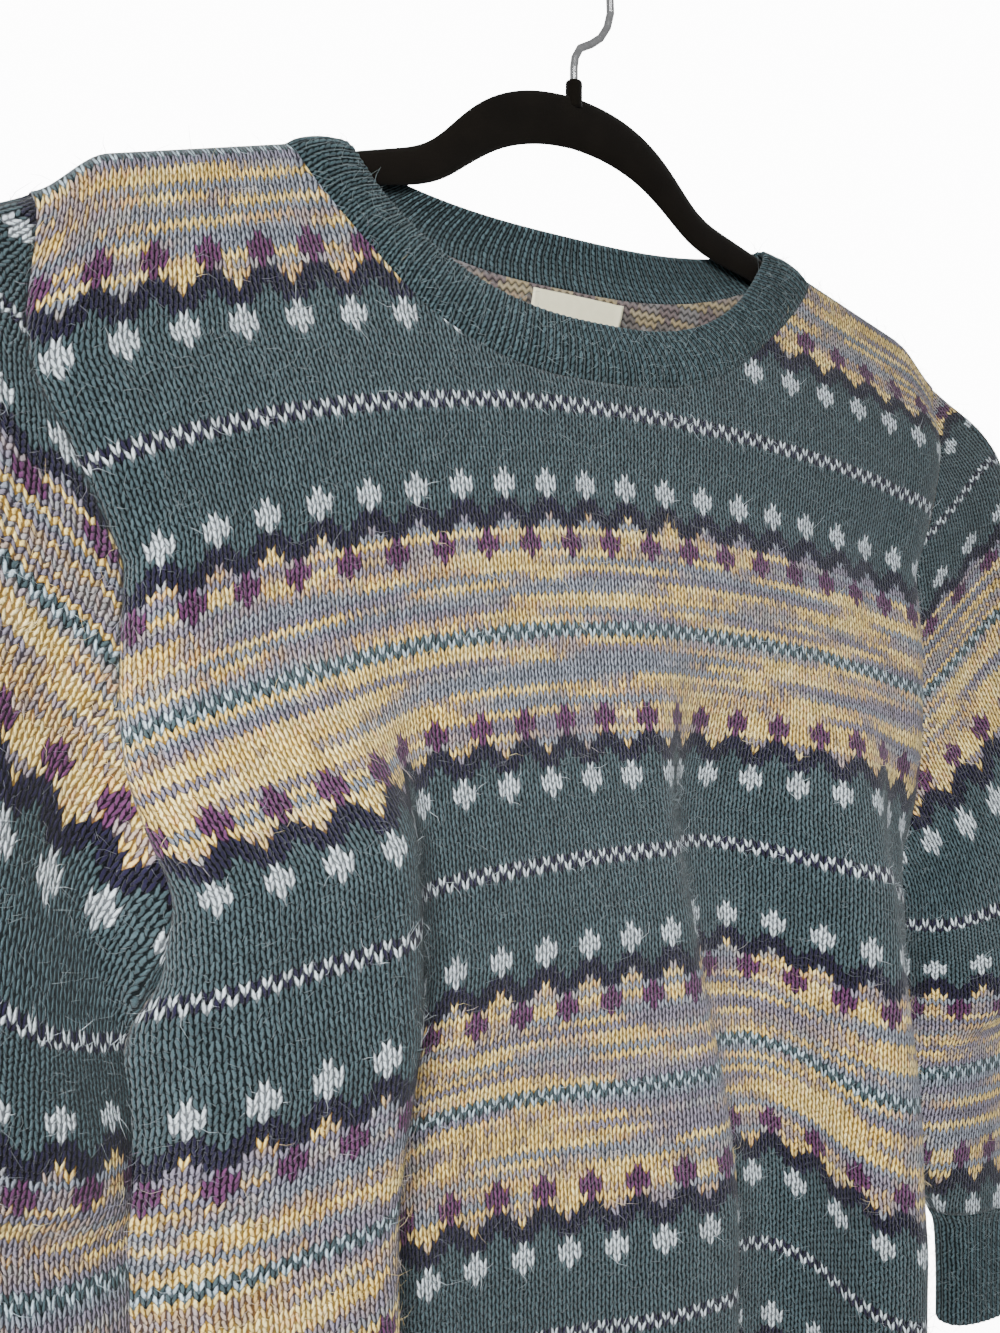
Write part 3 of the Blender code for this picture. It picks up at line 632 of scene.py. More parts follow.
def make_panel(name, surface, depth, creases, materials):
    """The front or the back, with its creases and the groove of its armhole seams."""
    c, r = panel_places(depth)
    # a few rows at a time, to keep the surface's tables small
    points = np.concatenate([surface(c[k : k + 12], r[k : k + 12]) for k in range(0, len(c), 12)])
    normals = normals_of(points, False)
    points = creased(points, normals, c, r, creases)
    side = (between(r, HALF) - np.abs(c)) / SEAM_HALF
    groove = np.exp(-(side**2)) * smooth((UNDERARM + 12.0 - r) / SEAM_FADE) * smooth(r / SEAM_FADE)
    points = points - normals * SEAM_DEPTH * groove[..., None]
    stitches = on_map(c, r)
    return sheet_of(name, points, stitches, False, materials), points, normals, stitches


def ring(row, turns, side):
    """A sleeve's section; turn 0 is its outer edge, a quarter turn its front."""
    _, outer_x, outer_z, inner_x, inner_z, half = row
    outer = np.array([outer_x, SLEEVE_Y, outer_z])
    inner = np.array([inner_x, SLEEVE_Y, inner_z])
    along = np.cos(2.0 * math.pi * turns)[:, None]
    deep = np.sin(2.0 * math.pi * turns)[:, None]
    flat = np.sign(deep) * np.abs(deep) ** SLEEVE_SQUARE
    points = (outer + inner) / 2.0 + (outer - inner) / 2.0 * along + flat * np.array([0.0, -half, 0.0])
    points[:, 0] = SLEEVE_MIDDLE[side > 0] + side * points[:, 0]
    points[:, 2] -= SLEEVE_DROP[side > 0]
    return points


def armhole(side):
    """The armhole's edge, down the front and up the back, and the turn of each point."""
    count = 60
    r = np.linspace(0.0, UNDERARM, count)
    c = side * between(r, HALF)
    edge = loop(front(c, r), back(c, r))
    lengths = np.linalg.norm(np.diff(np.vstack([edge, edge[:1]]), axis=0), axis=1)
    down = np.concatenate([[0.0], np.cumsum(lengths[: count - 1])])
    up = np.concatenate([[0.0], np.cumsum(lengths[count - 1 :])])
    turns = np.concatenate([down / down[-1] / 2.0, 0.5 + up[1:-1] / up[-1] / 2.0])
    return edge, turns


def through(rings, per_gap):
    """Rings joined by a smooth curve through each column."""
    count = len(rings)
    before = np.concatenate([2.0 * rings[:1] - rings[1:2], rings[:-1]])
    after = np.concatenate([rings[1:], 2.0 * rings[-1:] - rings[-2:-1]])
    slope = (after - before) / 2.0
    fine = []
    for k in range(count - 1):
        for t in np.arange(per_gap) / per_gap:
            a, b = 2 * t**3 - 3 * t**2 + 1, t**3 - 2 * t**2 + t
            fine.append(rings[k] * a + slope[k] * b + rings[k + 1] * (1 - a) + slope[k + 1] * (t**3 - t**2))
    fine.append(rings[-1])
    return np.stack(fine)


def row_distance(x, z):
    """Distance down a sleeve's cloth at x outward and height z."""
    outer = rise(x, *OUTER_COLUMNS)
    lines = [(row_z - (ROW_X - x) * fall, outer_z) for _, _, row_z, fall, outer_z in SLEEVE_ROWS]
    levels = np.stack([line + (outer_z - line) * outer for line, outer_z in lines])
    rows = np.array([row[1] for row in SLEEVE_ROWS])
    place = np.zeros_like(x)
    for k in range(len(rows) - 1):
        high, low = levels[k], levels[k + 1]
        part = np.clip((high - z) / np.maximum(high - low, 1.0), 0.0 if k else -3.0, 1.0)
        place = place + part * (rows[k + 1] - rows[k])
    return rows[0] + place


def even_stitches(points, down):
    """Stitches across a wrapped grid, by least squares: one for each stitch width along a row."""
    gap_j, gap_i = np.diff(points, axis=1), np.diff(points, axis=0)
    along, below = np.gradient(points, axis=1), np.gradient(points, axis=0)
    slope_j, slope_i = np.gradient(down, axis=1), np.gradient(down, axis=0)
    a, b = (along**2).sum(-1), (along * below).sum(-1)
    c = (below**2).sum(-1)
    area = np.maximum(a * c - b * b, 1e-6)
    fall = (c * slope_j - b * slope_i)[..., None] * along + (a * slope_i - b * slope_j)[..., None] * below
    row_way = unit(np.cross(unit(np.cross(along, below)), fall / area[..., None])) / STITCH
    want_j = ((row_way[:, 1:] + row_way[:, :-1]) / 2.0 * gap_j).sum(-1)
    want_i = ((row_way[1:] + row_way[:-1]) / 2.0 * gap_i).sum(-1)
    pull_j = 1.0 / np.maximum((gap_j**2).sum(-1), 0.3)
    pull_i = 1.0 / np.maximum((gap_i**2).sum(-1), 0.3)

    def spread_back(step_j, step_i):
        total = np.zeros_like(down)
        total[:, 1:] += pull_j * step_j
        total[:, :-1] -= pull_j * step_j
        total[1:] += pull_i * step_i
        total[:-1] -= pull_i * step_i
        return total

    across = np.zeros_like(down)
    left = spread_back(want_j, want_i)
    way, size = left.copy(), (left**2).sum()
    for _ in range(900):
        bent = spread_back(np.diff(way, axis=1), np.diff(way, axis=0)) + 1e-7 * way
        part = size / (way * bent).sum()
        across += part * way
        left -= part * bent
        fresh = (left**2).sum()
        way = left + fresh / size * way
        size = fresh
        if size < 1e-9:
            break
    return across


def make_sleeve(name, side, materials):
    """One sleeve from its armhole to its cuff; its map begins at the seam under the arm."""
    edge, turns = armhole(side)
    rings = [edge] + [ring(row, turns, side) for row in SLEEVE_RINGS]
    for k, follow in enumerate(SLEEVE_FOLLOW, 1):
        rings[k][:, 1] += (edge[:, 1] - rings[k][:, 1]) * follow
    points = through(np.stack(rings), 12)
    normals = normals_of(points, True)
    out = side * (points[..., 0] - SLEEVE_MIDDLE[side > 0])
    height = points[..., 2] + SLEEVE_DROP[side > 0]
    turn = np.broadcast_to(turns, out.shape)
    points = creased(points, normals, turn, height, SLEEVE_CREASES, TURN_PER_MM)
    near = np.arange(len(points))[:, None] / SLEEVE_SEAM[0]
    points = points - normals * SLEEVE_SEAM[1] * np.exp(-(near**2))[..., None]
    start = -int(np.argmin(np.abs(turns - 0.5)))
    points, normals, down = (np.roll(k, start, axis=1) for k in (points, normals, row_distance(out, height)))
    down = wrap(down)
    across = even_stitches(wrap(points), down)
    across -= np.floor(across.min()) - 0.5
    stitches = np.stack([across, down / ROW], axis=-1)
    return sheet_of(name, points, stitches, True, materials, SLEEVE_Y), wrap(points), wrap(normals), stitches


def spaced(line, count, loss):
    """A closed ring of points with an even number of them to each rib, and its ribs.

    A rib is narrower by the loss on the neckband near the shoulders, where it closes up.
    """
    closed = np.vstack([line, line[:1]])
    steps_along = np.linalg.norm(np.diff(closed, axis=0), axis=1)
    middle_x = 0.5 * (closed[1:, 0] + closed[:-1, 0])
    reach = RIB - loss * rise(np.abs(middle_x), *BAND_RIB_COLUMNS)
    run = np.concatenate([[0.0], np.cumsum(steps_along / reach)])
    at = np.linspace(0.0, run[-1], count + 1)[:-1]
    return np.stack([np.interp(at, run, closed[:, k]) for k in range(3)], axis=-1), run[-1]


def wrap(grid):
    """A closed grid with its first column again at its end."""
    return np.concatenate([grid, grid[:, :1]], axis=1)


def ribbed(name, rings, rows, middle_y, made, loss=0.0):
    """A ribbed band through a few rings, with whole ribs all round."""
    ribs = int(round(spaced(rings[len(rings) // 2], 200, loss)[1]))
    even = np.stack([spaced(line, ribs * RIB_SAMPLES, loss)[0] for line in rings])
    points = through(even, rows)
    waves = np.arange(ribs * RIB_SAMPLES) / RIB_SAMPLES
    down = np.concatenate([[0.0], np.cumsum(np.linalg.norm(np.diff(points[:, 0], axis=0), axis=1))])
    across = np.append(waves, float(ribs)) + 0.5
    stitches = np.stack(np.broadcast_arrays(across[None], down[:, None] / ROW), axis=-1)
    item = rib_of(name, points, stitches, middle_y, made, waves)
    return item, wrap(points), wrap(normals_of(points, True)), stitches


def make_cuff(name, side, made):
    """A cuff, gathered from the sleeve's last ring."""
    turns = np.linspace(0.0, 1.0, 121)[:-1]
    rings = [ring(row, turns, side) for row in CUFF_RINGS]
    return ribbed(name, rings, 5, SLEEVE_Y, made)


def make_hem(made):
    """The rib at the hem."""
    rings = []
    for r in np.linspace(BODY_END, HEM_END, 4):
        rows = np.full(200, r)
        c = np.linspace(-1.0, 1.0, 200) * between(rows, HALF)
        line = loop(front(c, rows), back(c, rows))
        middle = line.mean(axis=0)
        pull = 1.0 - HEM_PULL * rise(r, BODY_END, 15.0)
        rings.append(middle + (line - middle) * np.array([pull, pull, 1.0]))
    return ribbed("hem_rib_knit", rings, 6, rings[0][:, 1].mean(), made)


def band_edge(depth, side, count):
    """Inner edge of the neckband on one side, left to right."""
    x, r = neck_curve(*BAND_X, BAND_LEAVE, depth, count)
    return np.stack([x, plane_y(r * 1.25, side), ridge_z(x) - r], axis=-1)


def make_band(made):
    """The ribbed neckband, from its sewn edge to its cast-off edge."""
    count = 60
    sides = []
    for surface, depth in ((front, FRONT_NECK), (back, BACK_NECK)):
        sides.append(surface(*neck_curve(*NECK_C, NECK_LEAVE, depth, count)))
    outer = loop(*sides)
    inner = loop(band_edge(BAND_FRONT, -1, count), band_edge(BAND_BACK, 1, count))
    rings = [outer + (inner - outer) * t for t in (0.0, 0.3, 0.65, 1.0)]
    across = unit(np.cross(np.roll(outer, -1, 0) - np.roll(outer, 1, 0), inner - outer))
    across = across * np.sign((across[:, 1] * outer[:, 1]).sum())
    rings = [line + across * BAND_BULGE * (0 < k < 3) for k, line in enumerate(rings)]
    return ribbed("neckband_rib", rings, 4, 0.0, made, BAND_RIB_LOSS)


def make_label(made):
    """The bare label: a strip of tape with its ends turned under and sewn down."""
    c, r = np.meshgrid(np.linspace(*LABEL_C, 33), np.linspace(*LABEL_R, 13))
    points = back(c, r)
    ends = np.minimum(c - LABEL_C[0], LABEL_C[1] - c)
    points[..., 1] -= WALL / 2.0 + LABEL_GAP
    points[..., 1] -= 0.35 * smooth((2.2 - ends) / 0.8) - 0.25 * np.exp(-((ends - 2.6) ** 2) / 0.3)
    flat, faces, places = sheet_parts(points, np.stack([c, r], axis=-1), False)
    return thicken(mesh_piece("label_tape", flat, faces.tolist(), places, made), LABEL_WALL, 0)


# ---------------------------------------------------------------- hanger
def edit_face(item, way):
    """Open a mesh for editing with only the flat face at its +X or -X end selected."""
    if item.mode == "OBJECT":
        bpy.ops.object.mode_set(mode="EDIT")
    bpy.ops.mesh.select_mode(type="FACE")
    bpy.ops.mesh.select_all(action="DESELECT")
    bpy.ops.object.mode_set(mode="OBJECT")
    for face in item.data.polygons:
        face.select = face.normal.x * way > 0.9
    bpy.ops.object.mode_set(mode="EDIT")


def make_hanger(flock):
    """The hanger's body: half of it drawn out from its middle, mirrored and smoothed."""
    _, _, top, low = HANGER_OUTLINE[0]
    bpy.ops.object.select_all(action="DESELECT")
    quarter = (0.0, math.pi / 2.0, 0.0)
    bpy.ops.mesh.primitive_cylinder_add(vertices=12, radius=1.0, depth=HANGER_SLAB * MM, rotation=quarter)
    item = bpy.context.active_object
    item.name = "hanger_flock"
    item.location = (HANGER_SLAB / 2.0 * MM, 0.0, (top + low) / 2.0 * MM)
    item.scale = ((top - low) / 2.0 * MM, HANGER_HALF * MM, 1.0)
    bpy.ops.object.transform_apply(location=True, rotation=True, scale=True)
    edit_face(item, -1.0)
    bpy.ops.mesh.delete(type="ONLY_FACE")
    edit_face(item, 1.0)
    place = HANGER_SLAB
    for _, x, new_top, new_low in HANGER_OUTLINE[1:]:
        move = ((x - place) * MM, 0.0, (new_top + new_low - top - low) / 2.0 * MM)
        bpy.ops.mesh.extrude_region_move(TRANSFORM_OT_translate={"value": move})
        bpy.ops.transform.resize(value=(1.0, 1.0, (new_top - new_low) / (top - low)))
        place, top, low = x, new_top, new_low
    bpy.ops.object.mode_set(mode="OBJECT")
    apply(item, "MIRROR", merge_threshold=0.0001)
    apply(item, "SUBSURF", levels=2, render_levels=2)
    radius, top, low = (size * MM for size in NUB)
    middle = (0.0, 0.0, (top + low) / 2.0)
    bpy.ops.mesh.primitive_cylinder_add(vertices=24, radius=radius, depth=top - low, location=middle)
    nub = bpy.context.active_object
    bpy.ops.object.transform_apply(location=True, rotation=True, scale=True)
    apply(nub, "BEVEL", width=1.2 * MM, segments=3)
    item.select_set(True)
    bpy.context.view_layer.objects.active = item
    bpy.ops.object.join()
    bpy.ops.object.shade_smooth_by_angle(angle=math.radians(50.0))
    item.data.materials.clear()
    item.data.materials.append(flock)
    bpy.ops.object.select_all(action="DESELECT")
    return item


# ---------------------------------------------------------------- loose fibres
def make_fuzz(name, points, normals, stitches, count, seed, made):
    """Curved fibres of three sides that stand out of a grid of cloth."""
    chance = np.random.default_rng(seed)
    a, b, c = points[:-1, :-1], points[1:, :-1], points[:-1, 1:]
    area = np.linalg.norm(np.cross(b - a, c - a), axis=-1)
    cells = chance.choice(area.size, count, p=(area / area.sum()).ravel())
    i, j = np.unravel_index(cells, area.shape)
    s, t = chance.random((2, count, 1))
    fields = []
    for field in (points, normals, stitches):
        top = field[i, j] * (1 - t) + field[i, j + 1] * t
        low = field[i + 1, j] * (1 - t) + field[i + 1, j + 1] * t
        fields.append(top * (1 - s) + low * s)
    root, out, place = fields[0], unit(fields[1]), fields[2]
    length = FIBRE_LENGTH[0] + FIBRE_LENGTH[1] * chance.random((count, 1)) ** 1.6
    length[:STRAYS] = STRAY_LENGTH[0] + STRAY_LENGTH[1] * chance.random((STRAYS, 1))
    lie = unit(np.cross(out, chance.normal(size=(count, 3))))
    across = np.cross(out, lie)
    rise = 0.25 + 0.6 * chance.random((count, 1))
    bend = 0.6 * chance.normal(size=(count, 1))
    base = root + out * (WALL / 2.0 - 0.3)
    middle = base + length * 0.5 * (lie + out * rise * 1.3 + across * bend * 0.5)
    end = base + length * (0.9 * lie + out * rise + across * bend)
    thick = 0.07 + 0.05 * chance.random((count, 1))
    rings = []
    for spot, share in ((base, 1.0), (middle, 0.85), (end, 0.35)):
        for k in range(3):
            turn = 2.0 * math.pi * k / 3.0
            way = across * math.cos(turn) + np.cross(lie, across) * math.sin(turn)
            rings.append(spot + thick * share * way)
    flat = np.stack(rings, axis=1).reshape(-1, 3)
    pairs = [(r * 3 + k, r * 3 + (k + 1) % 3) for r in range(2) for k in range(3)]
    sides = [(a, b, b + 3, a + 3) for a, b in pairs]
    first = np.arange(count)[:, None, None] * 9
    quads = (first + np.array(sides)).reshape(-1, 4)
    ends = (first + np.array([(2, 1, 0), (6, 7, 8)])).reshape(-1, 3)
    corners = np.concatenate([np.repeat(place, 24, axis=0), np.repeat(place, 6, axis=0)])
    return mesh_piece(name, flat, quads.tolist() + ends.tolist(), corners, made)


# ---------------------------------------------------------------- nodes
VECTOR, NUMBER, COLOUR = "NodeSocketVector", "NodeSocketFloat", "NodeSocketColor"


def linear(colour):
    """A scene colour from a hexadecimal one."""
    parts = [((colour >> shift) & 255) / 255.0 for shift in (16, 8, 0)]
    return tuple(p / 12.92 if p < 0.04045 else ((p + 0.055) / 1.055) ** 2.4 for p in parts) + (1.0,)


def grey(value):
    """A grey colour that carries a number."""
    return (value, value, value, 1.0)


def add(tree, kind, values=None, **settings):
    """A shader node with its settings, and its inputs set or linked."""
    made = tree.nodes.new("ShaderNode" + kind)
    for key, value in settings.items():
        setattr(made, key, value)
    for key, value in (values or {}).items():
        if isinstance(value, bpy.types.NodeSocket):
            tree.links.new(value, made.inputs[key])
        else:
            made.inputs[key].default_value = value
    return made


def calc(tree, operation, *values, clamp=False):
    """The result of a Math node; a tuple among its values is worked out first."""
    inputs = {k: calc(tree, *value) if isinstance(value, tuple) else value for k, value in enumerate(values)}
    return add(tree, "Math", inputs, operation=operation, use_clamp=clamp).outputs[0]


def vector(tree, operation, first, second):
    """The result of a Vector Math node."""
    return add(tree, "VectorMath", {0: first, 1: second}, operation=operation).outputs[0]


def mix(tree, factor, first, second, blend="MIX"):
    """The result of a colour Mix node."""
    values = {0: factor, 6: first, 7: second}
    return add(tree, "Mix", values, data_type="RGBA", blend_type=blend).outputs[2]


def noise(tree, place, scale, detail=2.0, rough=0.5):
    """The results of a noise texture: its value and its colour."""
    values = {"Vector": place, "Scale": scale, "Detail": detail, "Roughness": rough}
    return add(tree, "TexNoise", values).outputs


def eased(tree, value, start, end):
    """A number that goes smoothly from 0 to 1 while another goes from start to end."""
    values = {"Value": value, "From Min": start, "From Max": end}
    return add(tree, "MapRange", values, interpolation_type="SMOOTHSTEP").outputs[0]


def split(tree, place):
    """X and Y of a vector."""
    return add(tree, "SeparateXYZ", {"Vector": place}).outputs[:2]


def join(tree, *parts):
    """A vector from three numbers."""
    return add(tree, "CombineXYZ", dict(enumerate(parts))).outputs[0]


def stitch_map(tree):
    """The place on the cloth: stitches across and rows down."""
    return add(tree, "UVMap", uv_map="stitches").outputs[0]


def steps(tree, factor, stops, interpolation="CONSTANT"):
    """A colour ramp through (place, colour) stops."""
    made = add(tree, "ValToRGB", {"Fac": factor})
    ramp = made.color_ramp
    ramp.interpolation = interpolation
    while len(ramp.elements) > 1:
        ramp.elements.remove(ramp.elements[-1])
    for number, (place, colour) in enumerate(stops):
        element = ramp.elements[0] if number == 0 else ramp.elements.new(place)
        element.position = place
        element.color = colour
    return made.outputs[0]


def group(name, inputs, outputs):
    """An empty node group with its sockets."""
    tree = bpy.data.node_groups.new(name, "ShaderNodeTree")
    for way, sockets in (("INPUT", inputs), ("OUTPUT", outputs)):
        for key, kind in sockets.items():
            tree.interface.new_socket(name=key, in_out=way, socket_type=kind)
    return tree, tree.nodes.new("NodeGroupInput").outputs, tree.nodes.new("NodeGroupOutput").inputs


def give(tree, result, **values):
    """A node group with its results linked."""
    for key, value in values.items():
        tree.links.new(value, result[key])
    return tree


def placed(tree, shared, **values):
    """The results of a node that holds a shared group."""
    return add(tree, "Group", values, node_tree=shared).outputs


# ---------------------------------------------------------------- shared groups
def stitch_group():
    """Splits the map into V-shaped stitches of two legs: column, row, relief and shade."""
    tree, given, result = group(
        "stocking_stitch",
        {"Map": VECTOR, "Lean": NUMBER, "Width": NUMBER},
        {"Column": NUMBER, "Row": NUMBER, "Relief": NUMBER, "Shade": NUMBER, "Legs": VECTOR, "Chance": NUMBER},
    )
    moved = given["Map"]
    for scale, reach in WAVERS:
        waver = vector(tree, "SUBTRACT", noise(tree, given["Map"], scale, 1.0)["Color"], (0.5, 0.5, 0.5))
        moved = vector(tree, "ADD", moved, vector(tree, "MULTIPLY", waver, reach))
    across, down = split(tree, moved)
    column = calc(tree, "FLOOR", across)
    half = calc(tree, "MULTIPLY_ADD", ("SUBTRACT", across, column), 2.0, -1.0)
    off_leg = calc(tree, "SUBTRACT", ("ABSOLUTE", half), 0.5)
    leaned = calc(tree, "ADD", down, ("MULTIPLY", off_leg, given["Lean"]))
    row = calc(tree, "FLOOR", leaned)
    wide = calc(tree, "DIVIDE", off_leg, ("MULTIPLY", given["Width"], 0.5))
    tall = calc(tree, "DIVIDE", ("SUBTRACT", ("SUBTRACT", leaned, row), LEG_MIDDLE), LEG_HALF)
    curve = calc(tree, "ADD", ("POWER", ("ABSOLUTE", wide), 2.0), ("POWER", ("ABSOLUTE", tall), 2.2))
    ragged = calc(tree, "SUBTRACT", noise(tree, given["Map"], 6.5, 2.0, 0.65)[0], 0.5)
    body = calc(tree, "MULTIPLY_ADD", ragged, 1.7, ("SUBTRACT", 1.0, curve))
    leg = calc(tree, "MULTIPLY_ADD", ("GREATER_THAN", half, 0.0), 0.5, column)
    own = add(tree, "TexWhiteNoise", {"Vector": join(tree, leg, row, 0.5)})
    return give(
        tree,
        result,
        Column=column,
        Row=row,
        Relief=calc(tree, "POWER", ("MAXIMUM", body, 0.0), 0.5),
        # Shade is the mask of the painted shade: low in the gaps between legs and rows
        Shade=eased(tree, body, -0.1, 0.62),
        Legs=join(tree, across, leaned, column),
        Chance=own.outputs["Value"],
    )


def chart_group():
    """The fair isle chart: which yarn a stitch is knitted in."""
    tree, given, result = group("fair_isle_chart", {"Column": NUMBER, "Row": NUMBER}, {"Yarn": NUMBER})
    half, aside = float(HALF_CHART), REPEAT / 2.0
    in_repeat = calc(tree, "FLOORED_MODULO", given["Row"], 2.0 * half)
    lower = calc(tree, "GREATER_THAN", in_repeat, half - 0.5)
    away = calc(tree, "ABSOLUTE", ("SUBTRACT", in_repeat, half - 0.5))
    turned = calc(tree, "MULTIPLY_ADD", lower, aside, ("ADD", given["Column"], aside))
    reach = calc(tree, "ABSOLUTE", ("SUBTRACT", ("FLOORED_MODULO", turned, float(REPEAT)), aside))
    place = calc(tree, "DIVIDE", away, half)
    motif, ground, width = (
        steps(tree, place, [(row[1] / half, grey(row[column] / 10.0)) for row in CHART]) for column in (2, 3, 4)
    )
    wide = calc(tree, "MULTIPLY", width, 10.0)
    lice = calc(tree, "GREATER_THAN", wide, LICE - 1.0)
    parity = calc(tree, "FLOORED_MODULO", ("ADD", given["Column"], given["Row"]), 2.0)
    every_other = ("MAXIMUM", ("SUBTRACT", 1.0, lice), ("LESS_THAN", parity, 0.5))
    inside = calc(tree, "MULTIPLY", ("LESS_THAN", reach, ("SUBTRACT", wide, 0.5)), every_other)
    yarn = calc(tree, "ADD", ground, ("MULTIPLY", inside, ("SUBTRACT", motif, ground)))
    return give(tree, result, Yarn=calc(tree, "MULTIPLY", yarn, 10.0))


def dye_group():
    """The space-dyed yarn, whose colour changes in runs along each row."""
    kinds = {"Map": VECTOR, "Row": NUMBER, "Chance": NUMBER}
    tree, given, result = group("space_dye", kinds, {"Color": COLOUR})
    across = split(tree, given["Map"])[0]
    start = add(tree, "TexWhiteNoise", {"W": given["Row"]}, noise_dimensions="1D").outputs["Value"]
    along = calc(tree, "MULTIPLY_ADD", across, DYE_RUN, ("MULTIPLY", start, 97.0))
    runs = add(tree, "TexNoise", {"W": along, "Scale": 1.0, "Detail": 1.0}, noise_dimensions="1D")
    pool = [calc(tree, "MULTIPLY", value, scale) for value, scale in zip((across, given["Row"]), DYE_POOL)]
    pools = noise(tree, join(tree, *pool, 5.0), 1.0, 1.0)[0]
    value = calc(tree, "MULTIPLY_ADD", pools, 0.3, ("SUBTRACT", runs.outputs[0], 0.15))
    value = calc(tree, "ADD", value, ("MULTIPLY_ADD", given["Chance"], 0.05, -0.025))
    stops = [(place, linear(colour)) for place, colour in DYES]
    return give(tree, result, Color=steps(tree, value, stops, "LINEAR"))


def wool_group():
    """Heathered alpaca: lighter and darker fibres along each leg, and painted shade in the gaps between the
    legs.
    """
    tree, given, result = group(
        "alpaca_wool",
        {"Color": COLOUR, "Legs": VECTOR, "Shade": NUMBER, "Chance": NUMBER},
        {"Color": COLOUR, "Fibres": NUMBER},
    )
    fibres = noise(tree, vector(tree, "MULTIPLY", given["Legs"], FIBRE_SCALE), 1.0, 3.0, 0.7)[0]
    patch = noise(tree, given["Legs"], 0.22)[0]
    bright = calc(tree, "MULTIPLY", ("MULTIPLY_ADD", fibres, 1.5, 0.4), ("MULTIPLY_ADD", patch, 0.5, 0.75))
    bright = calc(tree, "MULTIPLY", bright, ("MULTIPLY_ADD", given["Chance"], 0.5, 0.78))
    tone = add(tree, "CombineColor", dict.fromkeys(range(3), bright)).outputs[0]
    lit = mix(tree, 1.0, given["Color"], tone, "MULTIPLY")
    # Painted shade: the yarn is darkened in the gaps between legs, where the Shade mask is low
    gap = mix(tree, 1.0, mix(tree, 1.0, given["Color"], GAP_SHADE_TINT, "MULTIPLY"), grey(0.055), "ADD")
    gap = mix(tree, 1.0, lit, gap, "MULTIPLY")
    return give(tree, result, Color=mix(tree, given["Shade"], gap, lit), Fibres=fibres)


# ---------------------------------------------------------------- materials
def material(name, **values):
    """A material and its tree, with constants on its shader's sockets."""
    made = bpy.data.materials.new(name)
    made.use_nodes = True
    for key, value in values.items():
        made.node_tree.nodes["Principled BSDF"].inputs[key.replace("_", " ")].default_value = value
    return made, made.node_tree


def shaded(made, colour, height=None, strength=0.0, distance=0.0):
    """A material with its colour and its bump, whose distance is in millimetres."""
    tree = made.node_tree
    inputs = tree.nodes["Principled BSDF"].inputs
    tree.links.new(colour, inputs["Base Color"])
    if height is not None:
        values = {"Height": height, "Strength": strength, "Distance": distance * MM}
        tree.links.new(add(tree, "Bump", values).outputs[0], inputs["Normal"])
    return made


def woollen(name, tint):
    """A dull woollen material with the pale bloom of its fibres."""
    bloom = {"Sheen_Weight": 0.22, "Sheen_Roughness": 0.45, "Sheen_Tint": linear(tint)}
    return material(name, Roughness=0.95, Specular_IOR_Level=0.12, **bloom)


def yarn_colour(tree, number, dyed):
    """The colour of a yarn by its number, with the space-dyed one laid over it."""
    place = calc(tree, "DIVIDE", ("ADD", number, 0.5), float(len(YARNS)))
    plain = steps(tree, place, [(k / len(YARNS), linear(colour)) for k, (_, colour) in enumerate(YARNS)])
    return mix(tree, calc(tree, "GREATER_THAN", number, DYED - 0.5), plain, dyed)


def patterned(tree, groups):
    """The stitches on the map and the colour of each: the chart's yarns and the dyed one."""
    place = stitch_map(tree)
    stitch = placed(tree, groups["stitch"], Map=place, Lean=0.9, Width=0.76)
    chart = placed(tree, groups["chart"], Column=stitch["Column"], Row=stitch["Row"])
    dyed = placed(tree, groups["dye"], Map=place, Row=stitch["Row"], Chance=stitch["Chance"])
    return stitch, yarn_colour(tree, chart["Yarn"], dyed["Color"])


def knitted(made, groups, stitch, colour, shade, strength, distance):
    """A material of wool in stitches, whose legs and fibres stand out."""
    tree = made.node_tree
    wool = placed(tree, groups["wool"], Color=colour, Legs=stitch["Legs"], Shade=shade, Chance=stitch["Chance"])
    height = calc(tree, "MULTIPLY_ADD", wool["Fibres"], 0.3, stitch["Relief"])
    return shaded(made, wool["Color"], height, strength, distance)


def knit_outside(groups):
    """The right side of the patterned knit."""
    made, tree = woollen("fair_isle_knit", 0xD9DDE0)
    stitch, colour = patterned(tree, groups)
    # The stitches' Shade mask puts painted shade in the gaps between the legs
    return knitted(made, groups, stitch, colour, stitch["Shade"], 0.8, 1.0)


def knit_inside(groups):
    """The wrong side: purl bumps with painted shade between them, and the strands that are carried behind the
    motifs.
    """
    made, tree = woollen("fair_isle_wrong_side", 0xC4C8CC)
    place = stitch_map(tree)
    across, down = split(tree, place)
    wave = calc(tree, "MULTIPLY", ("SINE", ("MULTIPLY", across, 2.0 * math.pi)), 0.22)
    down = calc(tree, "ADD", down, wave)
    bumps = calc(tree, "ABSOLUTE", ("SINE", ("MULTIPLY", down, math.pi)))
    row = calc(tree, "FLOOR", down)
    chart = placed(tree, groups["chart"], Column=calc(tree, "FLOOR", across), Row=row)
    dyed = placed(tree, groups["dye"], Map=place, Row=row, Chance=0.5)
    colour = mix(tree, 0.8, yarn_colour(tree, chart["Yarn"], dyed["Color"]), linear(0x6B645D))
    # Painted shade: the wool is darkened in the gaps between the purl bumps
    wool = placed(tree, groups["wool"], Color=colour, Legs=place, Shade=bumps, Chance=0.45)
    return shaded(made, wool["Color"], calc(tree, "MULTIPLY_ADD", wool["Fibres"], 0.4, bumps), 0.8, 0.9)


def rib_knit(groups):
    """The plain teal rib, with painted shade in its valleys."""
    made, tree = woollen("teal_rib_knit", 0xC9D2D4)
    place = stitch_map(tree)
    stitch = placed(tree, groups["stitch"], Map=place, Lean=0.8, Width=0.78)
    valley = calc(tree, "ABSOLUTE", ("MULTIPLY_ADD", ("FRACT", split(tree, place)[0]), 2.0, -1.0))
    # Painted shade: the stitches' shade is deepened towards the rib's valleys
    shade = calc(tree, "MULTIPLY", stitch["Shade"], eased(tree, valley, 0.95, 0.55))
    return knitted(made, groups, stitch, linear(YARNS[TEAL][1]), shade, 0.7, 0.7)


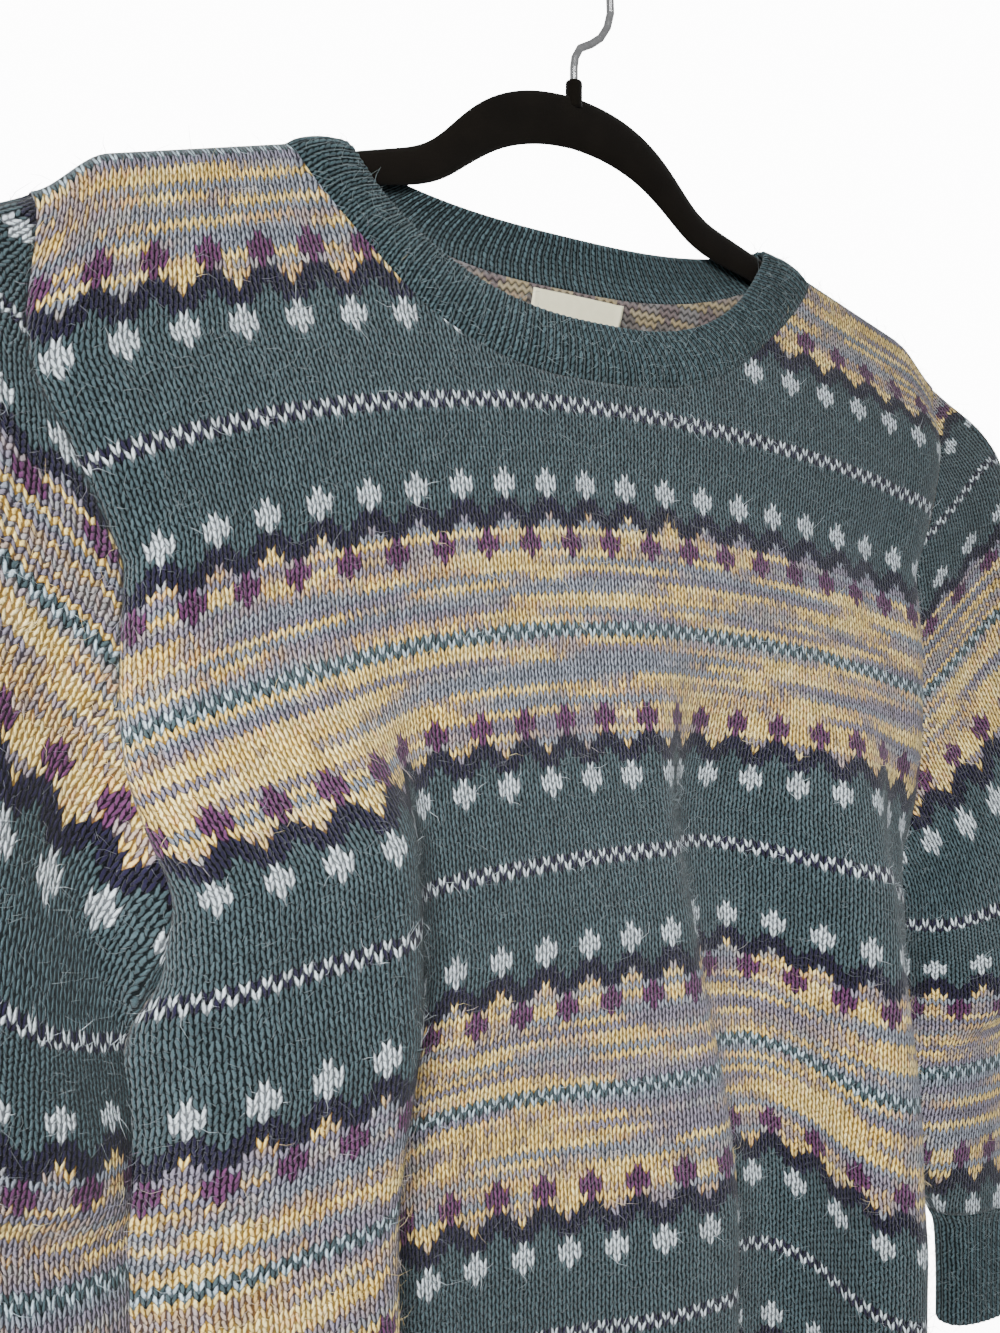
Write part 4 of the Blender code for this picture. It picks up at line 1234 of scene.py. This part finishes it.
def fuzz_wool(groups, name, has_pattern):
    """Loose fibres, in a paler tone of the yarn that they stand out of."""
    made, tree = material(name, Roughness=0.8, Sheen_Weight=0.2)
    if has_pattern:
        colour = patterned(tree, groups)[1]
    else:
        colour = mix(tree, noise(tree, stitch_map(tree), 0.7)[0], linear(0x43565A), linear(0x5F7276))
    return shaded(made, mix(tree, 0.2, colour, linear(0xB4BEC2)))


def label_tape():
    """Cream woven tape, with nothing on it."""
    made, tree = material("cream_tape", Roughness=0.6, Sheen_Weight=0.15)
    place = stitch_map(tree)
    across, along = split(tree, place)
    weave = calc(tree, "MULTIPLY", ("SINE", ("MULTIPLY", across, 26.0)), ("SINE", ("MULTIPLY", along, 22.0)))
    tone = calc(tree, "MULTIPLY_ADD", weave, 0.12, noise(tree, place, 0.3, 3.0)[0], clamp=True)
    return shaded(made, mix(tree, tone, linear(0xE6E1BC), linear(0xF6F1CF)), weave, 0.3, 0.12)


def velvet():
    """Black flock."""
    pile = {"Sheen_Weight": 0.18, "Sheen_Roughness": 0.35}
    made, tree = material("black_flock", Roughness=0.95, Specular_IOR_Level=0.1, **pile)
    place = add(tree, "TexCoord").outputs["Object"]
    nap = noise(tree, place, 2600.0, 3.0)[0]
    tone = calc(tree, "MULTIPLY", nap, noise(tree, place, 55.0)[0])
    return shaded(made, mix(tree, tone, linear(0x070503), linear(0x1C1812)), nap, 0.5, 0.3)


def bright_wire():
    """Plated wire, lightly scuffed."""
    made, tree = material("plated_wire", Metallic=1.0)
    scuff = noise(tree, add(tree, "TexCoord").outputs["Object"], 420.0, 4.0)[0]
    rough = calc(tree, "MULTIPLY_ADD", scuff, 0.25, 0.12)
    tree.links.new(rough, tree.nodes["Principled BSDF"].inputs["Roughness"])
    return shaded(made, mix(tree, scuff, linear(0xB9BABC), linear(0xD9DADC)))


# ---------------------------------------------------------------- stage and camera
def make_stage():
    """A pale floor under the jumper, the light and the camera."""
    bpy.ops.object.select_all(action="DESELECT")
    bpy.ops.mesh.primitive_plane_add(size=FLOOR_SIZE, location=(0.0, 0.0, FLOOR_Z))
    floor = bpy.context.active_object
    floor.name = "pale_floor"
    white = (1.0, 1.0, 1.0, 1.0)
    made, tree = material("pale_floor", Roughness=0.9, Base_Color=grey(0.86), Emission_Color=white)
    seen = add(tree, "LightPath").outputs["Is Camera Ray"]
    glow = calc(tree, "MULTIPLY", seen, FLOOR_GLOW)
    tree.links.new(glow, tree.nodes["Principled BSDF"].inputs["Emission Strength"])
    floor.data.materials.append(made)
    world = bpy.data.worlds.new("pale_room")
    bpy.context.scene.world = world
    world.use_nodes = True
    tree = world.node_tree
    seen = add(tree, "LightPath").outputs["Is Camera Ray"]
    back = tree.nodes["Background"].inputs
    back["Color"].default_value = white
    tree.links.new(calc(tree, "MULTIPLY_ADD", seen, ROOM_GLOW, ROOM_LIGHT), back["Strength"])
    for name, place, size, watts, spread in LAMPS:
        lamp = bpy.data.lights.new(name, "AREA")
        lamp.size = size
        lamp.energy = watts
        lamp.spread = math.radians(spread)
        item = new_object(name, lamp)
        item.location = place
        aim = np.array(LAMP_AIM) - place
        fall = math.atan2(math.hypot(aim[0], aim[1]), -aim[2])
        item.rotation_euler = (fall, 0.0, math.atan2(-aim[0], aim[1]))
    camera = bpy.data.cameras.new("camera")
    camera.lens, camera.sensor_width, camera.shift_y = CAMERA_LENS
    camera.clip_start = 0.02
    item = new_object("camera", camera)
    item.location = CAMERA_PLACE
    item.rotation_euler = (math.radians(90.0), 0.0, math.radians(CAMERA_TURN))
    bpy.context.scene.camera = item


def dress(piece, nodes, fuzz=()):
    """Attach a cloth piece and its loose fibres to the root, and hide the model's parts that it stands in for.
    """
    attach(piece, "root")
    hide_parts(*nodes)
    for fibres in fuzz:
        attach(fibres, "root")


def main():
    """Dress the frame."""
    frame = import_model()
    make_stage()
    groups = {"stitch": stitch_group(), "chart": chart_group()}
    groups.update(dye=dye_group(), wool=wool_group())
    outside, inside = knit_outside(groups), knit_inside(groups)
    rib = rib_knit(groups)
    both = [outside, inside]
    loose = fuzz_wool(groups, "loose_fibres", True)
    plain = fuzz_wool(groups, "loose_teal_fibres", False)
    pieces = (
        ("front", front, FRONT_NECK, FRONT_CREASES, (0.55, 0.60), 0.29, 11000),
        ("back", back, BACK_NECK, BACK_CREASES, (0.55, 0.60), 0.30, 6000),
    )
    for name, surface, depth, creases, flat, area, count in pieces:
        piece, *cloth = make_panel(name + "_knit", surface, depth, creases, both)
        fuzz = make_fuzz(name + "_fibres", *cloth, count, count, loose)
        dress(piece, [name], [fuzz])
    for name, side in (("right", -1), ("left", 1)):
        sleeve, *cloth = make_sleeve("sleeve_%s_knit" % name, side, both)
        fuzz = make_fuzz("sleeve_%s_fibres" % name, *cloth, 4500, 30 + side, loose)
        dress(sleeve, ["sleeve_" + name], [fuzz])
        cuff, *cloth = make_cuff("cuff_%s_rib" % name, side, rib)
        fuzz = make_fuzz("cuff_%s_fibres" % name, *cloth, 700, 40 + side, plain)
        dress(cuff, ["cuff_" + name], [fuzz])
    hem, *cloth = make_hem(rib)
    dress(hem, ["hem_rib"], [make_fuzz("hem_fibres", *cloth, 2200, 51, plain)])
    band, *cloth = make_band(rib)
    dress(band, ["neckband"], [make_fuzz("neckband_fibres", *cloth, 900, 61, plain)])
    dress(make_label(label_tape()), ["label"])
    hanger = make_hanger(velvet())
    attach(hanger, "root")
    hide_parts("hanger")
    frame["nodes"]["hook"].data.materials.clear()
    frame["nodes"]["hook"].data.materials.append(bright_wire())


main()
